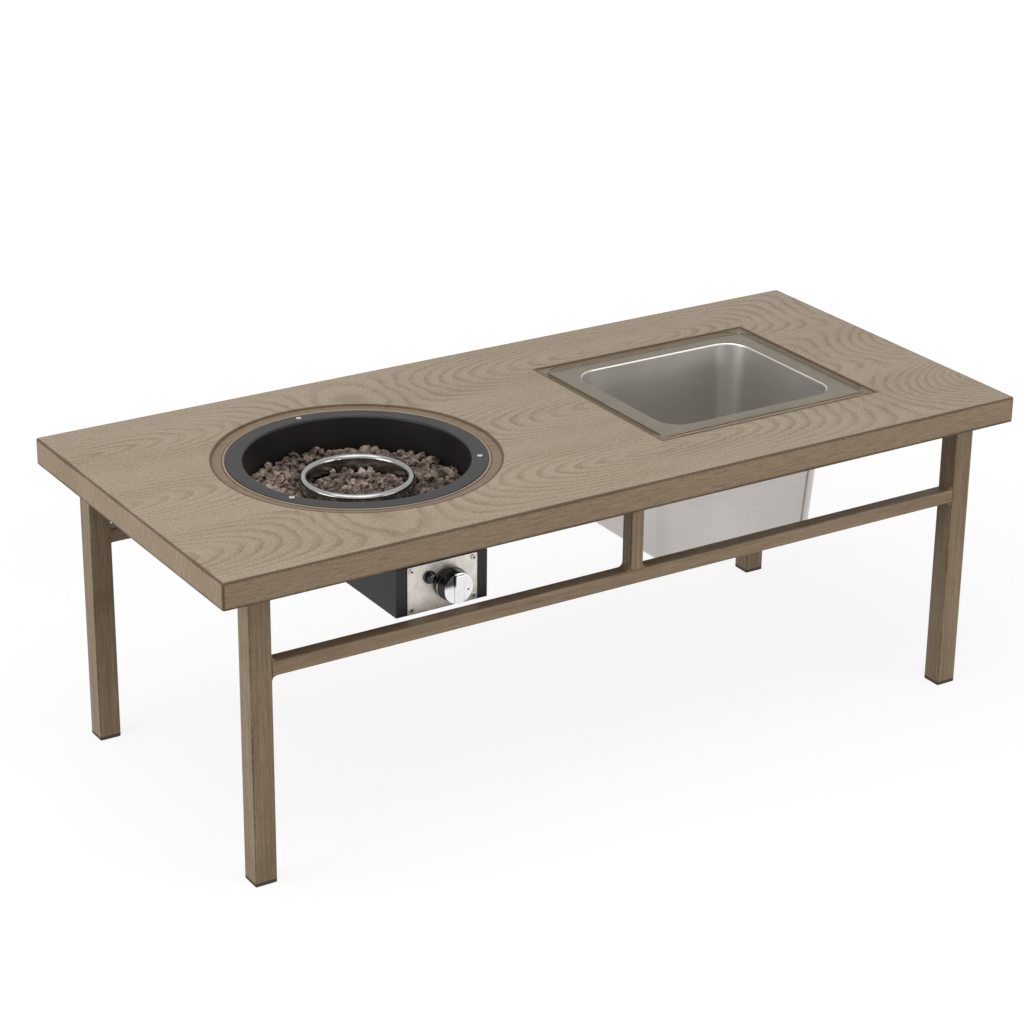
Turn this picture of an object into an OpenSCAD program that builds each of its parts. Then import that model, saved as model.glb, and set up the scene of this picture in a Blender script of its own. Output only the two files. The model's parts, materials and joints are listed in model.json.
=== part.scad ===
// Fire pit table: a sheet-metal top with a wood-look finish, a round gas fire bowl at the left
// and a lift-out drinks pan at the right, on two welded side frames.
// X runs along the table, the front faces -Y, and the floor is Z = 0 under the table's centre.

/* [Table top] */
// Length of the top
table_l = 1320; // [1240:10:1500]
// Depth of the top, front to back
table_w = 588; // [570:2:680]
// Height of the top above the floor
table_h = 472; // [460:2:560]
// Height of the apron that is folded down round the top
apron_h = 39; // [36:1:60]
// Thickness of the sheet of the top
top_sheet = 1.5; // [1.2:0.1:2]
// Width of the hem that is folded in at the foot of the apron
apron_hem = 12; // [8:1:18]
// Radius of the top's upright corners
top_corner_r = 4; // [3:0.5:8]
// Depth of the seats that are pressed into the top for the bowl and the pan
seat_drop = 3; // [2.5:0.1:3.5]
// Radius of the rolled bead beside each seat
bead_size = 1.2; // [0.8:0.1:1.2]

/* [Side frames] */
// Width of a square leg
leg_size = 33; // [30:1:38]
// Wall of the leg tube
leg_wall = 1.5; // [1.2:0.1:2]
// From the end of the top to the outer face of a leg
leg_end_inset = 50; // [40:1:60]
// From the front or back of the top to the outer face of a leg
leg_side_inset = 29; // [25:1:32]
// Width of the square tube of the rails, posts and bars
bar_size = 22; // [18:1:26]
// Wall of the rail tube
bar_wall = 1.2; // [1:0.1:1.6]
// From the face of the top down to the top of the lower rails
rail_drop = 142; // [140:1:200]
// Outer corner radius of the tubes
tube_corner_r = 2.5; // [2.2:0.1:3]
// Height of a foot cap below the leg
foot_h = 6; // [4:0.5:10]
// Length of the foot cap's plug inside the leg
foot_plug = 20; // [12:1:30]
// Reach of a corner plate along each bar
plate_reach = 60; // [50:1:80]
// Thickness of a corner plate
plate_t = 3; // [2:0.5:4]
// Radius of the corner screws' shanks
corner_screw_r = 3; // [2.5:0.1:3.5]

/* [Fire bowl] */
// From the end of the top to the bowl's centre
bowl_inset = 360; // [340:1:370]
// Radius of the round opening and of the seat ring under it
bowl_seat_r = 203; // [199:0.5:206]
// Width of the seat ring's lip, which is spot-welded under the top
seat_lip = 12; // [8:1:16]
// Outer radius of the bowl's flange
flange_r = 185; // [178:0.5:190]
// Inner radius of the bowl
bowl_r = 161; // [158:0.5:164]
// Depth of the bowl below the seat
bowl_depth = 68; // [62:1:74]
// Thickness of the bowl's sheet
bowl_sheet = 1.2; // [1:0.1:1.6]
// Inner radius of the bend between the bowl's wall and floor
bowl_bend = 8; // [5:0.5:10]
// Radius of the circle of the flange screws
flange_screw_circle = 173; // [171:0.5:174]
// Radius of the flange screws' shanks
flange_screw_r = 2; // [1.5:0.1:2.2]

/* [Burner] */
// Outer radius of the polished collar
collar_r = 80; // [76:0.5:82]
// Width of the collar's rolled rim
collar_rim = 9; // [7:0.5:10]
// Height of the collar above the bowl's floor
collar_h = 40; // [38:0.5:44]
// Thickness of the collar's sheet
collar_sheet = 1.2; // [1:0.1:1.5]
// Radius of the flat burner head
head_r = 55; // [50:0.5:56]
// Height of the burner head
head_h = 12; // [10:0.5:14]
// Wall of the burner head
head_wall = 1.5; // [1.2:0.1:2]
// Outer radius of the mixer tube
mixer_r = 11; // [9:0.5:13]
// Wall of the mixer tube
mixer_wall = 1.2; // [1:0.1:1.6]
// Distance of the electrode and the thermocouple from the burner's axis
sensor_r = 63; // [61:0.5:66]
// Radius of the electrode's ceramic
electrode_r = 3.5; // [2.5:0.1:3.8]
// Radius of the thermocouple's tip
thermocouple_r = 2.5; // [2:0.1:3]
// Size of a lava stone
stone_size = 22; // [18:0.5:22.5]
// Free space kept between stones
stone_gap = 0.8; // [0.5:0.1:2]

/* [Control box] */
// Width of the control box
box_w = 144; // [136:1:160]
// Height of the control box
box_h = 71; // [68:1:80]
// From the front of the top to the front of the box
box_setback = 61; // [57:1:70]
// From the bowl's centre to the back of the box
box_tail = 32; // [26:1:60]
// Thickness of the box's sheet
box_sheet = 1.2; // [1:0.1:1.6]
// Width of the lips folded in round the box's open top
box_lip = 12; // [8:1:16]
// Width of the stainless control panel
panel_w = 110; // [106:1:126]
// Height of the control panel
panel_h = 69; // [64:1:70]
// Thickness of the control panel
panel_t = 1.5; // [1:0.1:2]
// From the panel's edge to the middle of a panel screw
panel_screw_inset = 6; // [5.5:0.1:7]
// Radius of the panel screws' shanks
panel_screw_r = 1.9; // [1.5:0.1:2]

/* [Knob and valve] */
// Sideways distance of the knob from the bowl's centre line
knob_side = 10; // [9:0.5:12]
// Height of the knob above the foot of the box
knob_rise = 37; // [35:0.5:39]
// Outer radius of the knob
knob_r = 24; // [21:0.5:24]
// Length of the knob's body
knob_l = 19; // [16:0.5:24]
// Gap between the knob and the panel
knob_gap = 6.5; // [6:0.5:9]
// Radius of the valve's stem
stem_r = 4; // [3:0.1:5]
// Width of the raised grip across the knob's cap
grip_w = 16; // [10:0.5:18]
// Height of the raised grip
grip_h = 4; // [3:0.5:6]
// Thickness of the knob's cap
cap_t = 2; // [1.5:0.1:3]
// Outer radius of the gas pipes
pipe_r = 4; // [3:0.1:4.5]
// Wall of the gas pipes
pipe_wall = 1; // [0.8:0.1:1.2]
// Height of the gas pipe above the foot of the box
pipe_rise = 22; // [20:0.5:26]
// Radius of the hose thread at the gas inlet
inlet_r = 7.9; // [7:0.1:9]
// Length of the hose thread behind the box
inlet_l = 16; // [12:1:20]

/* [Igniter] */
// From the knob's axis to the igniter, sideways
igniter_left = 31; // [31:0.5:34]
// From the knob's axis up to the igniter
igniter_up = 14; // [14:0.5:16]
// Radius of the igniter's push button
button_r = 6.8; // [6:0.1:6.8]
// How far the button stands out of its collar
button_stand = 6.5; // [6:0.5:9]
// Travel of the button and of the knob when pushed
push_travel = 5; // [3:0.5:5]
// Outer radius of the igniter's housing
igniter_r = 10.5; // [10.3:0.1:11]
// Radius of the igniter's battery
battery_r = 7.1; // [6:0.1:7.2]
// Length of the igniter's battery
battery_l = 50.5; // [45:0.5:55]
// Radius of the insulated leads
lead_r = 1.5; // [1:0.1:2]

/* [Drinks pan] */
// From the end of the top to the pan's centre
pan_inset = 360; // [340:1:370]
// Length of the seat that is pressed in for the pan
pan_seat_l = 386; // [384:1:400]
// Depth of that seat, front to back
pan_seat_w = 340; // [334:1:350]
// Length of the pan's rim
rim_l = 368; // [350:1:370]
// Depth of the pan's rim, front to back
rim_w = 316; // [300:1:318]
// Outer corner radius of the rim
rim_corner_r = 5; // [3:0.5:8]
// Height of the rolled edge of the rim
rim_roll = 2.4; // [2:0.1:2.8]
// Length of the pan's mouth
mouth_l = 305; // [290:1:310]
// Depth of the pan's mouth, front to back
mouth_w = 262; // [250:1:264]
// Corner radius of the pan's mouth
mouth_corner_r = 38; // [30:1:45]
// Depth of the pan below the seat
pan_depth = 234; // [180:2:240]
// How far each side leans in on the way down
pan_draft = 14; // [8:0.5:18]
// Radius of the bend between the pan's sides and floor
pan_bend = 12; // [8:0.5:16]
// Thickness of the pan's sheet
pan_sheet = 1; // [0.8:0.1:1.2]

/* [Hidden] */

$fn = 96;

// Clearances
slip = 0.1;          // a plug in its tube, or a fixed piece in its hole
running = 0.05;      // a shaft that turns or slides in its bore, or a screw in its tapped hole
loose = 0.3;         // a loose part in its housing, and the end play of a travel
screw_play = 0.2;    // a shank in a clear hole
hole_play = 4;       // the bowl and the pan in the holes of the top
bead_gap = 1.5;      // from the flange or the rim to the bead that frames it

// Levels
seat_z = table_h - seat_drop;
under_z = table_h - top_sheet;
seat_under = seat_z - top_sheet;
bowl_under = seat_z - bowl_depth;
bowl_floor = bowl_under + bowl_sheet;
bar_z = under_z - bar_size;
rail_top = table_h - rail_drop;
rail_z = rail_top - bar_size;
box_z = bowl_under - box_h;
head_top = bowl_floor + head_h;

// Places across the table
bowl_x = bowl_inset - table_l / 2;
pan_x = table_l / 2 - pan_inset;
leg_out_x = table_l / 2 - leg_end_inset;
leg_out_y = table_w / 2 - leg_side_inset;
leg_in_x = leg_out_x - leg_size;
leg_in_y = leg_out_y - leg_size;
leg_mid_x = leg_out_x - leg_size / 2;
leg_mid_y = leg_out_y - leg_size / 2;
bar_in_y = leg_out_y - bar_size;
bar_mid_y = leg_out_y - bar_size / 2;
plate_screw_reach = plate_reach - 15;

// Front of the control box, and what is fixed to it
box_front = -table_w / 2 + box_setback;
wall_in = box_front + box_sheet;
panel_front = box_front - panel_t;
knob_x = bowl_x + knob_side;
knob_z = box_z + knob_rise;
knob_back = panel_front - knob_gap;
knob_front = knob_back - knob_l;
knob_bore = 14;
pipe_z = box_z + pipe_rise;
igniter_x = knob_x - igniter_left;
igniter_z = knob_z + igniter_up;

// Valve body: a block behind the wall, with an outlet boss towards the burner's line
valve_w = 30;
valve_d = 36;
valve_h = 30;
valve_back = wall_in + valve_d;
boss_r = 7.8;
stem_depth = 20;
stem_end = panel_front + stem_depth;
plunger_r = 2.5;
plunger_l = 11.5;
outlet_half = 8;
outlet_d = 19;
inlet_x = knob_x + 8;
inlet_z = knob_z - 4;

// Igniter, from the front to the back: its ring, its neck through the panel, its housing
ring_t = 4;
ring_r = 9.5;
neck_r = 8;
button_tail = 12;
button_front = panel_front - ring_t - button_stand;
button_l = button_stand + button_tail;
button_bore_end = button_front + button_l + push_travel + loose;
battery_front = button_bore_end + 1.5;
housing_back = battery_front + battery_l + 2 * loose;
end_cap_t = 5;
terminal_l = 6;
terminal_r = 2;
terminal_tip = housing_back + end_cap_t + terminal_l;

// Burner
jet_half = 12;
jet_h = 16;
jet_top = pipe_z + jet_h / 2;
electrode_angle = 250;
thermocouple_angle = 290;
electrode_at = [bowl_x + sensor_r * cos(electrode_angle), sensor_r * sin(electrode_angle)];
thermocouple_at = [bowl_x + sensor_r * cos(thermocouple_angle), sensor_r * sin(thermocouple_angle)];
electrode_low = bowl_under - 16;
pin_low = electrode_low - 5;
electrode_high = bowl_floor + 18;
thermocouple_low = bowl_under - 14;
lead_turn = 5;
lead_run = 20;

// Stones
stone_pitch = stone_size + stone_gap;
golden = (1 + sqrt(5)) / 2;
stone_points = [
    [-1, golden, 0], [1, golden, 0], [-1, -golden, 0], [1, -golden, 0],
    [0, -1, golden], [0, 1, golden], [0, -1, -golden], [0, 1, -golden],
    [golden, 0, -1], [golden, 0, 1], [-golden, 0, -1], [-golden, 0, 1]
];
stone_faces = [
    [0, 5, 11], [0, 1, 5], [0, 7, 1], [0, 10, 7], [0, 11, 10],
    [1, 9, 5], [5, 4, 11], [11, 2, 10], [10, 6, 7], [7, 8, 1],
    [3, 4, 9], [3, 2, 4], [3, 6, 2], [3, 8, 6], [3, 9, 8],
    [4, 5, 9], [2, 11, 4], [6, 10, 2], [8, 7, 6], [9, 1, 8]
];

// Colours
wood_look = "#a4927a";
frame_look = "#8a7861";
black_paint = "#37373a";
steel = "#c9c9c7";
brass = "#c2a14e";
stone_brown = "#7a6258";

// A number from 0 to 1 that looks random and is the same each time
function scatter(n) = let (v = sin(n * 127.1 + 311.7) * 437.58) v - floor(v);

// Flat shapes

module rounded_square(w, d, r) {
    square([w - 2 * r, d], center = true);
    square([w, d - 2 * r], center = true);
    for (x = [-1, 1], y = [-1, 1])
        translate([x * (w / 2 - r), y * (d / 2 - r)])
            circle(r = r, $fn = 48);
}

module tube_section(size, wall) {
    difference() {
        rounded_square(size, size, tube_corner_r);
        rounded_square(size - 2 * wall, size - 2 * wall, tube_corner_r - wall);
    }
}

// Half section of a round dish with a bend between its wall and floor
module dish_section(r, depth, bend) {
    square([r - bend, depth]);
    translate([0, bend])
        square([r, depth - bend]);
    translate([r - bend, bend])
        circle(r = bend, $fn = 48);
}

// Solid helpers

module bar_along_x(length) {
    rotate([0, 90, 0])
        linear_extrude(length, center = true)
            tube_section(bar_size, bar_wall);
}

module bar_along_y(length) {
    rotate([90, 0, 0])
        linear_extrude(length, center = true)
            tube_section(bar_size, bar_wall);
}

// A rod from y0 towards +Y
module rod_y(x, y0, z, r, length) {
    translate([x, y0, z])
        rotate([-90, 0, 0])
            cylinder(r = r, h = length);
}

// A round lead through a list of points, with a slightly thicker ball at each bend
module lead(points, r) {
    for (i = [1 : len(points) - 1]) {
        step = points[i] - points[i - 1];
        length = norm(step);
        translate(points[i - 1])
            rotate([0, acos(step.z / length), atan2(step.y, step.x)])
                cylinder(r = r, h = length, $fn = 24);
        if (i < len(points) - 1)
            translate(points[i])
                sphere(r = r + 0.15, $fn = 32);
    }
}

module at_each_corner() {
    for (x = [0, 1], y = [0, 1])
        mirror([x, 0, 0])
            mirror([0, y, 0])
                children();
}

// Table top

module tabletop() {
    color(wood_look) {
        difference() {
            union() {
                folded_sheet();
                pan_seat_back();
            }
            translate([bowl_x, 0, under_z - 1])
                cylinder(r = bowl_seat_r, h = top_sheet + 2);
            pan_seat_cuts();
        }
        pan_seat_bead();
    }
}

module folded_sheet() {
    apron_z = table_h - apron_h;
    difference() {
        translate([0, 0, apron_z])
            linear_extrude(apron_h)
                rounded_square(table_l, table_w, top_corner_r);
        translate([0, 0, apron_z + top_sheet])
            linear_extrude(apron_h - 2 * top_sheet)
                rounded_square(table_l - 2 * top_sheet, table_w - 2 * top_sheet, top_corner_r - top_sheet);
        translate([0, 0, apron_z - 1])
            linear_extrude(top_sheet + 2)
                rounded_square(table_l - 2 * apron_hem, table_w - 2 * apron_hem, top_corner_r);
    }
}

// The sheet under the pan's pressed seat
module pan_seat_back() {
    translate([pan_x, 0, seat_under])
        linear_extrude(under_z - seat_under + top_sheet / 2)
            rounded_square(pan_seat_l + 2 * top_sheet, pan_seat_w + 2 * top_sheet, top_corner_r);
}

module pan_seat_cuts() {
    translate([pan_x, 0, seat_z])
        linear_extrude(seat_drop + 1)
            rounded_square(pan_seat_l, pan_seat_w, top_corner_r - top_sheet);
    translate([pan_x, 0, seat_under - 1])
        linear_extrude(table_h - seat_under + 2)
            rounded_square(mouth_l + 2 * (pan_sheet + hole_play), mouth_w + 2 * (pan_sheet + hole_play),
                mouth_corner_r + pan_sheet + hole_play);
}

// Rolled bead that frames the pan's rim
module pan_seat_bead() {
    translate([pan_x, 0, seat_z - top_sheet / 2])
        linear_extrude(top_sheet / 2 + bead_size)
            difference() {
                rounded_square(rim_l + 2 * bead_gap + 4 * bead_size, rim_w + 2 * bead_gap + 4 * bead_size,
                    rim_corner_r + bead_gap + 2 * bead_size);
                rounded_square(rim_l + 2 * bead_gap, rim_w + 2 * bead_gap, rim_corner_r + bead_gap);
            }
}

// Pressed ring under the round opening: a lip against the sheet, a step down, and the bowl's seat
module bowl_seat() {
    color(wood_look)
        difference() {
            translate([bowl_x, 0, 0])
                rotate_extrude()
                    bowl_seat_section();
            for (a = [90, 210, 330])
                translate([bowl_x + flange_screw_circle * cos(a), flange_screw_circle * sin(a), seat_under - 1])
                    cylinder(r = flange_screw_r + screw_play, h = top_sheet + 2, $fn = 32);
        }
}

module bowl_seat_section() {
    hole_r = bowl_r + bowl_sheet + hole_play;
    translate([hole_r, seat_under])
        square([bowl_seat_r + top_sheet - hole_r, top_sheet]);
    translate([bowl_seat_r, seat_under])
        square([top_sheet, under_z - seat_under]);
    translate([bowl_seat_r, under_z - top_sheet])
        square([seat_lip, top_sheet]);
    translate([flange_r + bead_gap + bead_size, seat_z])
        circle(r = bead_size, $fn = 32);
}

// Side frames and top frame

module leg(x, y) {
    color(frame_look)
        translate([x * leg_mid_x, y * leg_mid_y, foot_h])
            linear_extrude(under_z - foot_h)
                tube_section(leg_size, leg_wall);
}

module foot(x, y) {
    plug = leg_size - 2 * leg_wall - 2 * slip;
    color("#2b2622")
        translate([x * leg_mid_x, y * leg_mid_y, 0]) {
            linear_extrude(foot_h)
                rounded_square(leg_size, leg_size, tube_corner_r);
            linear_extrude(foot_h + foot_plug)
                rounded_square(plug, plug, tube_corner_r - leg_wall);
        }
}

module long_bar(y, z) {
    color(frame_look)
        translate([0, y * bar_mid_y, z + bar_size / 2])
            bar_along_x(2 * leg_in_x);
}

module top_bar(y) {
    color(frame_look)
        difference() {
            translate([0, y * bar_mid_y, bar_z + bar_size / 2])
                bar_along_x(2 * leg_in_x);
            corner_screw_holes();
        }
}

module post(y) {
    color(frame_look)
        translate([0, y * bar_mid_y, rail_top])
            linear_extrude(bar_z - rail_top)
                tube_section(bar_size, bar_wall);
}

module end_cross_bar(x) {
    color(frame_look)
        difference() {
            translate([x * leg_mid_x, 0, bar_z + bar_size / 2])
                bar_along_y(2 * leg_in_y);
            corner_screw_holes();
        }
}

module middle_cross_bar() {
    color(frame_look)
        translate([0, 0, bar_z + bar_size / 2])
            bar_along_y(2 * bar_in_y);
}

// Middles of the two screws in the corner at +X, +Y
corner_screw_places = [
    [leg_in_x - plate_screw_reach, bar_mid_y],
    [leg_mid_x, leg_in_y - plate_screw_reach]
];

module corner_screw_holes() {
    at_each_corner()
        for (p = corner_screw_places)
            translate([p.x, p.y, bar_z - plate_t - 1])
                cylinder(r = corner_screw_r + running, h = plate_t + bar_wall + 2, $fn = 32);
}

module corner_plates() {
    side = bar_size / 2;
    color(frame_look)
        difference() {
            at_each_corner()
                translate([0, 0, bar_z - plate_t])
                    linear_extrude(plate_t)
                        polygon([
                            [leg_in_x, leg_out_y],
                            [leg_in_x - plate_reach, leg_out_y],
                            [leg_in_x - plate_reach, bar_in_y],
                            [leg_mid_x - side, leg_in_y - plate_reach],
                            [leg_mid_x + side, leg_in_y - plate_reach],
                            [leg_mid_x + side, leg_in_y],
                            [leg_in_x, leg_in_y]
                        ]);
            corner_screw_holes();
        }
}

module corner_screws() {
    head_h = 3.5;
    color(steel)
        at_each_corner()
            for (p = corner_screw_places)
                translate([p.x, p.y, bar_z - plate_t - head_h])
                    difference() {
                        union() {
                            cylinder(r = corner_screw_r + 2.5, h = head_h, $fn = 32);
                            cylinder(r = corner_screw_r, h = head_h + plate_t + bar_wall + 6, $fn = 32);
                        }
                        translate([0, 0, -1])
                            cylinder(r = corner_screw_r - 1, h = 3, $fn = 6);
                    }
}

// Fire bowl

module fire_bowl() {
    color(black_paint)
        difference() {
            translate([bowl_x, 0, bowl_under])
                rotate_extrude()
                    difference() {
                        union() {
                            dish_section(bowl_r + bowl_sheet, bowl_depth + bowl_sheet, bowl_bend + bowl_sheet);
                            translate([bowl_r, bowl_depth])
                                square([flange_r - bowl_r, bowl_sheet]);
                        }
                        translate([0, bowl_sheet])
                            dish_section(bowl_r, bowl_depth + 1, bowl_bend);
                    }
            translate([bowl_x, 0, bowl_under - 1])
                cylinder(r = mixer_r + loose, h = bowl_sheet + 2);
            translate([electrode_at.x, electrode_at.y, bowl_under - 1])
                cylinder(r = electrode_r + slip, h = bowl_sheet + 2, $fn = 32);
            translate([thermocouple_at.x, thermocouple_at.y, bowl_under - 1])
                cylinder(r = thermocouple_r + slip, h = bowl_sheet + 2, $fn = 32);
            for (a = [90, 210, 330])
                translate([bowl_x + flange_screw_circle * cos(a), flange_screw_circle * sin(a), seat_z - 1])
                    cylinder(r = flange_screw_r + screw_play, h = bowl_sheet + 2, $fn = 32);
        }
}

module at_flange_screws() {
    for (a = [90, 210, 330])
        translate([bowl_x, 0, 0])
            rotate(a)
                translate([flange_screw_circle, 0, 0])
                    children();
}

nut_h = 3.2;

module flange_screws() {
    head_h = 1.7;
    shank = seat_z - seat_under + bowl_sheet + nut_h + 1;
    color(steel)
        at_flange_screws()
            translate([0, 0, seat_z + bowl_sheet])
                difference() {
                    union() {
                        cylinder(r = flange_screw_r * 2, h = head_h, $fn = 32);
                        translate([0, 0, -shank])
                            cylinder(r = flange_screw_r, h = shank + 0.5, $fn = 32);
                    }
                    translate([0, 0, head_h])
                        for (a = [0, 90])
                            rotate(a)
                                cube([2.6 * flange_screw_r, 0.8, 1.6], center = true);
                }
}

module flange_nuts() {
    color(steel)
        at_flange_screws()
            translate([0, 0, seat_under - nut_h])
                difference() {
                    cylinder(r = flange_screw_r * 2, h = nut_h, $fn = 6);
                    translate([0, 0, -1])
                        cylinder(r = flange_screw_r + running, h = nut_h + 2, $fn = 32);
                }
}

// Burner

// Half section of the collar: an upright wall whose rim rolls over and out
module collar_section() {
    inner = collar_r - collar_rim;
    roll = collar_rim / 2;
    square_h = collar_h - roll;
    translate([inner, 0])
        square([collar_sheet, square_h]);
    translate([inner + roll, square_h])
        difference() {
            circle(r = roll, $fn = 64);
            circle(r = roll - collar_sheet, $fn = 64);
            translate([-collar_rim, -collar_rim])
                square([2 * collar_rim, collar_rim]);
        }
    translate([collar_r - collar_sheet, square_h - 7])
        square([collar_sheet, 7]);
}

module burner_collar() {
    color("#e4e4e2")
        translate([bowl_x, 0, bowl_floor])
            rotate_extrude()
                collar_section();
}

module burner_head() {
    color(steel)
        translate([bowl_x, 0, bowl_floor])
            difference() {
                cylinder(r = head_r, h = head_h);
                translate([0, 0, head_wall])
                    cylinder(r = head_r - head_wall, h = head_h - 2 * head_wall);
                translate([0, 0, -1])
                    cylinder(r = mixer_r + running, h = head_wall + 2);
                for (row = [1 : 3])
                    for (i = [0 : 6 * row - 1])
                        rotate(i * 60 / row)
                            translate([row * (head_r - 7) / 3, 0, head_h - head_wall - 1])
                                cylinder(r = 1.5, h = head_wall + 2, $fn = 16);
            }
}

module mixer_tube() {
    top = bowl_floor + head_wall;
    color("#b0b0ac")
        translate([bowl_x, 0, jet_top])
            difference() {
                cylinder(r = mixer_r, h = top - jet_top);
                translate([0, 0, -1])
                    cylinder(r = mixer_r - mixer_wall, h = top - jet_top + 2);
                for (a = [45, 135])
                    rotate(a)
                        translate([0, 0, 12])
                            rotate([90, 0, 0])
                                cylinder(r = 3, h = 3 * mixer_r, center = true, $fn = 24);
            }
}

module gas_jet() {
    color(brass)
        difference() {
            union() {
                translate([bowl_x - jet_half, -jet_half, jet_top - jet_h])
                    cube([2 * jet_half, 2 * jet_half, jet_h]);
                translate([bowl_x, 0, jet_top])
                    cylinder(r1 = 4, r2 = 2.5, h = 6, $fn = 32);
            }
            translate([bowl_x, 0, pipe_z])
                cylinder(r = 0.8, h = jet_h, $fn = 16);
            rod_y(bowl_x, -jet_half - 1, pipe_z, pipe_r - pipe_wall, jet_half + 1 + 2);
        }
}

module stone(seed) {
    points = [
        for (i = [0 : 11])
            let (p = stone_points[i] / norm(stone_points[i]))
                p * stone_size / 2 * (0.8 + 0.2 * scatter(seed * 12 + i))
    ];
    low = min([for (p = points) p.z]);
    translate([0, 0, -low])
        polyhedron(points, stone_faces);
}

module ring_of_stones(row_r, seed) {
    count = row_r < stone_pitch / 2 ? 1 : floor(180 / asin(stone_pitch / 2 / row_r));
    for (i = [0 : count - 1])
        rotate(360 * (i + scatter(seed)) / count)
            translate([row_r, 0, 0])
                rotate(360 * scatter(seed + i * 7))
                    stone(seed + i);
}

// Loose stones on the bowl's floor, round the collar
module lava_bed() {
    first = collar_r + stone_size / 2 + 0.5;
    last = bowl_r - stone_size / 2 - 1.5;
    rows = floor((last - first) / stone_pitch);
    color(stone_brown)
        translate([bowl_x, 0, bowl_floor])
            for (row = [0 : rows])
                ring_of_stones(first + row * (last - first) / rows, 40 + 100 * row);
}

// Stones on the burner head, inside the collar
module lava_burner() {
    reach = sensor_r - max(electrode_r, thermocouple_r) - 2 - stone_size / 2;
    rows = floor(reach / stone_pitch);
    color(stone_brown)
        translate([bowl_x, 0, head_top])
            for (row = [0 : rows])
                ring_of_stones(row * reach / max(rows, 1), 500 + 100 * row);
}

module electrode() {
    color("white")
        translate([electrode_at.x, electrode_at.y, 0]) {
            translate([0, 0, electrode_low])
                cylinder(r = electrode_r, h = electrode_high - electrode_low, $fn = 32);
            translate([0, 0, bowl_floor])
                cylinder(r = electrode_r + 2, h = 2, $fn = 32);
            translate([0, 0, pin_low])
                cylinder(r = 1, h = electrode_high + 8 - pin_low, $fn = 24);
        }
}

module ignition_lead() {
    turn = pin_low - lead_turn;
    color("#b5442e")
        lead([
            [electrode_at.x, electrode_at.y, pin_low],
            [electrode_at.x, electrode_at.y, turn],
            [igniter_x, terminal_tip + lead_run, turn],
            [igniter_x, terminal_tip + lead_run / 2, igniter_z],
            [igniter_x, terminal_tip, igniter_z]
        ], lead_r);
}

module thermocouple() {
    color("#b87333")
        translate([thermocouple_at.x, thermocouple_at.y, 0]) {
            translate([0, 0, thermocouple_low])
                cylinder(r = thermocouple_r, h = head_top + 9 - thermocouple_low, $fn = 32);
            translate([0, 0, bowl_floor])
                cylinder(r = thermocouple_r + 2, h = 2, $fn = 32);
        }
}

module thermocouple_lead() {
    turn = thermocouple_low - lead_turn;
    end_x = knob_x - valve_w / 5;
    end_z = knob_z + valve_h / 4;
    color("#b87333")
        lead([
            [thermocouple_at.x, thermocouple_at.y, thermocouple_low],
            [thermocouple_at.x, thermocouple_at.y, turn],
            [end_x, valve_back + lead_run, end_z],
            [end_x, valve_back, end_z]
        ], lead_r);
}

// Control box

module control_box() {
    depth = box_tail - box_front;
    // The box is open at the top only where the bowl's floor covers it
    box_mouth = bowl_bend + 20 - bowl_r;
    color(black_paint)
        translate([bowl_x, 0, 0])
            difference() {
                translate([-box_w / 2, box_front, box_z])
                    cube([box_w, depth, box_h]);
                translate([-box_w / 2 + box_sheet, wall_in, box_z + box_sheet])
                    cube([box_w - 2 * box_sheet, depth - 2 * box_sheet, box_h - 2 * box_sheet]);
                translate([-box_w / 2 + box_lip, box_mouth, box_z + box_h - 2 * box_sheet])
                    cube([box_w - 2 * box_lip, box_tail - box_lip - box_mouth, 3 * box_sheet]);
                front_holes(box_front - 1, box_sheet + 2);
                rod_y(inlet_x - bowl_x, box_tail - box_sheet - 1, inlet_z, inlet_r + screw_play, box_sheet + 2);
            }
}

// Holes for the valve, the igniter and the panel screws, seen from the bowl's centre line
module front_holes(y, depth) {
    rod_y(knob_side, y, knob_z, boss_r + slip, depth);
    rod_y(knob_side - igniter_left, y, igniter_z, neck_r + slip, depth);
    for (p = panel_screw_places)
        rod_y(p.x, y, p.y, panel_screw_r + running, depth, $fn = 32);
}

panel_z = bowl_under - 0.5 - panel_h;
panel_screw_places = [
    for (x = [-1, 1], z = [panel_screw_inset, panel_h - panel_screw_inset])
        [x * (panel_w / 2 - panel_screw_inset), panel_z + z]
];

module control_panel() {
    color(steel)
        translate([bowl_x, 0, 0])
            difference() {
                translate([0, box_front, panel_z + panel_h / 2])
                    rotate([90, 0, 0])
                        linear_extrude(panel_t)
                            rounded_square(panel_w, panel_h, 2);
                front_holes(panel_front - 1, panel_t + 2);
            }
}

module panel_screws() {
    head_h = 1.8;
    color(steel)
        translate([bowl_x, 0, 0])
            for (p = panel_screw_places)
                translate([p.x, panel_front, p.y])
                    rotate([90, 0, 0])
                        difference() {
                            union() {
                                cylinder(r = panel_screw_r * 2, h = head_h, $fn = 32);
                                translate([0, 0, -panel_t - box_sheet - 4])
                                    cylinder(r = panel_screw_r, h = panel_t + box_sheet + 4.5, $fn = 32);
                            }
                            translate([0, 0, head_h])
                                for (a = [20, 110])
                                    rotate(a)
                                        cube([2.6 * panel_screw_r, 0.7, 1.6], center = true);
                        }
}

// Valve, knob and gas line

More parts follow.
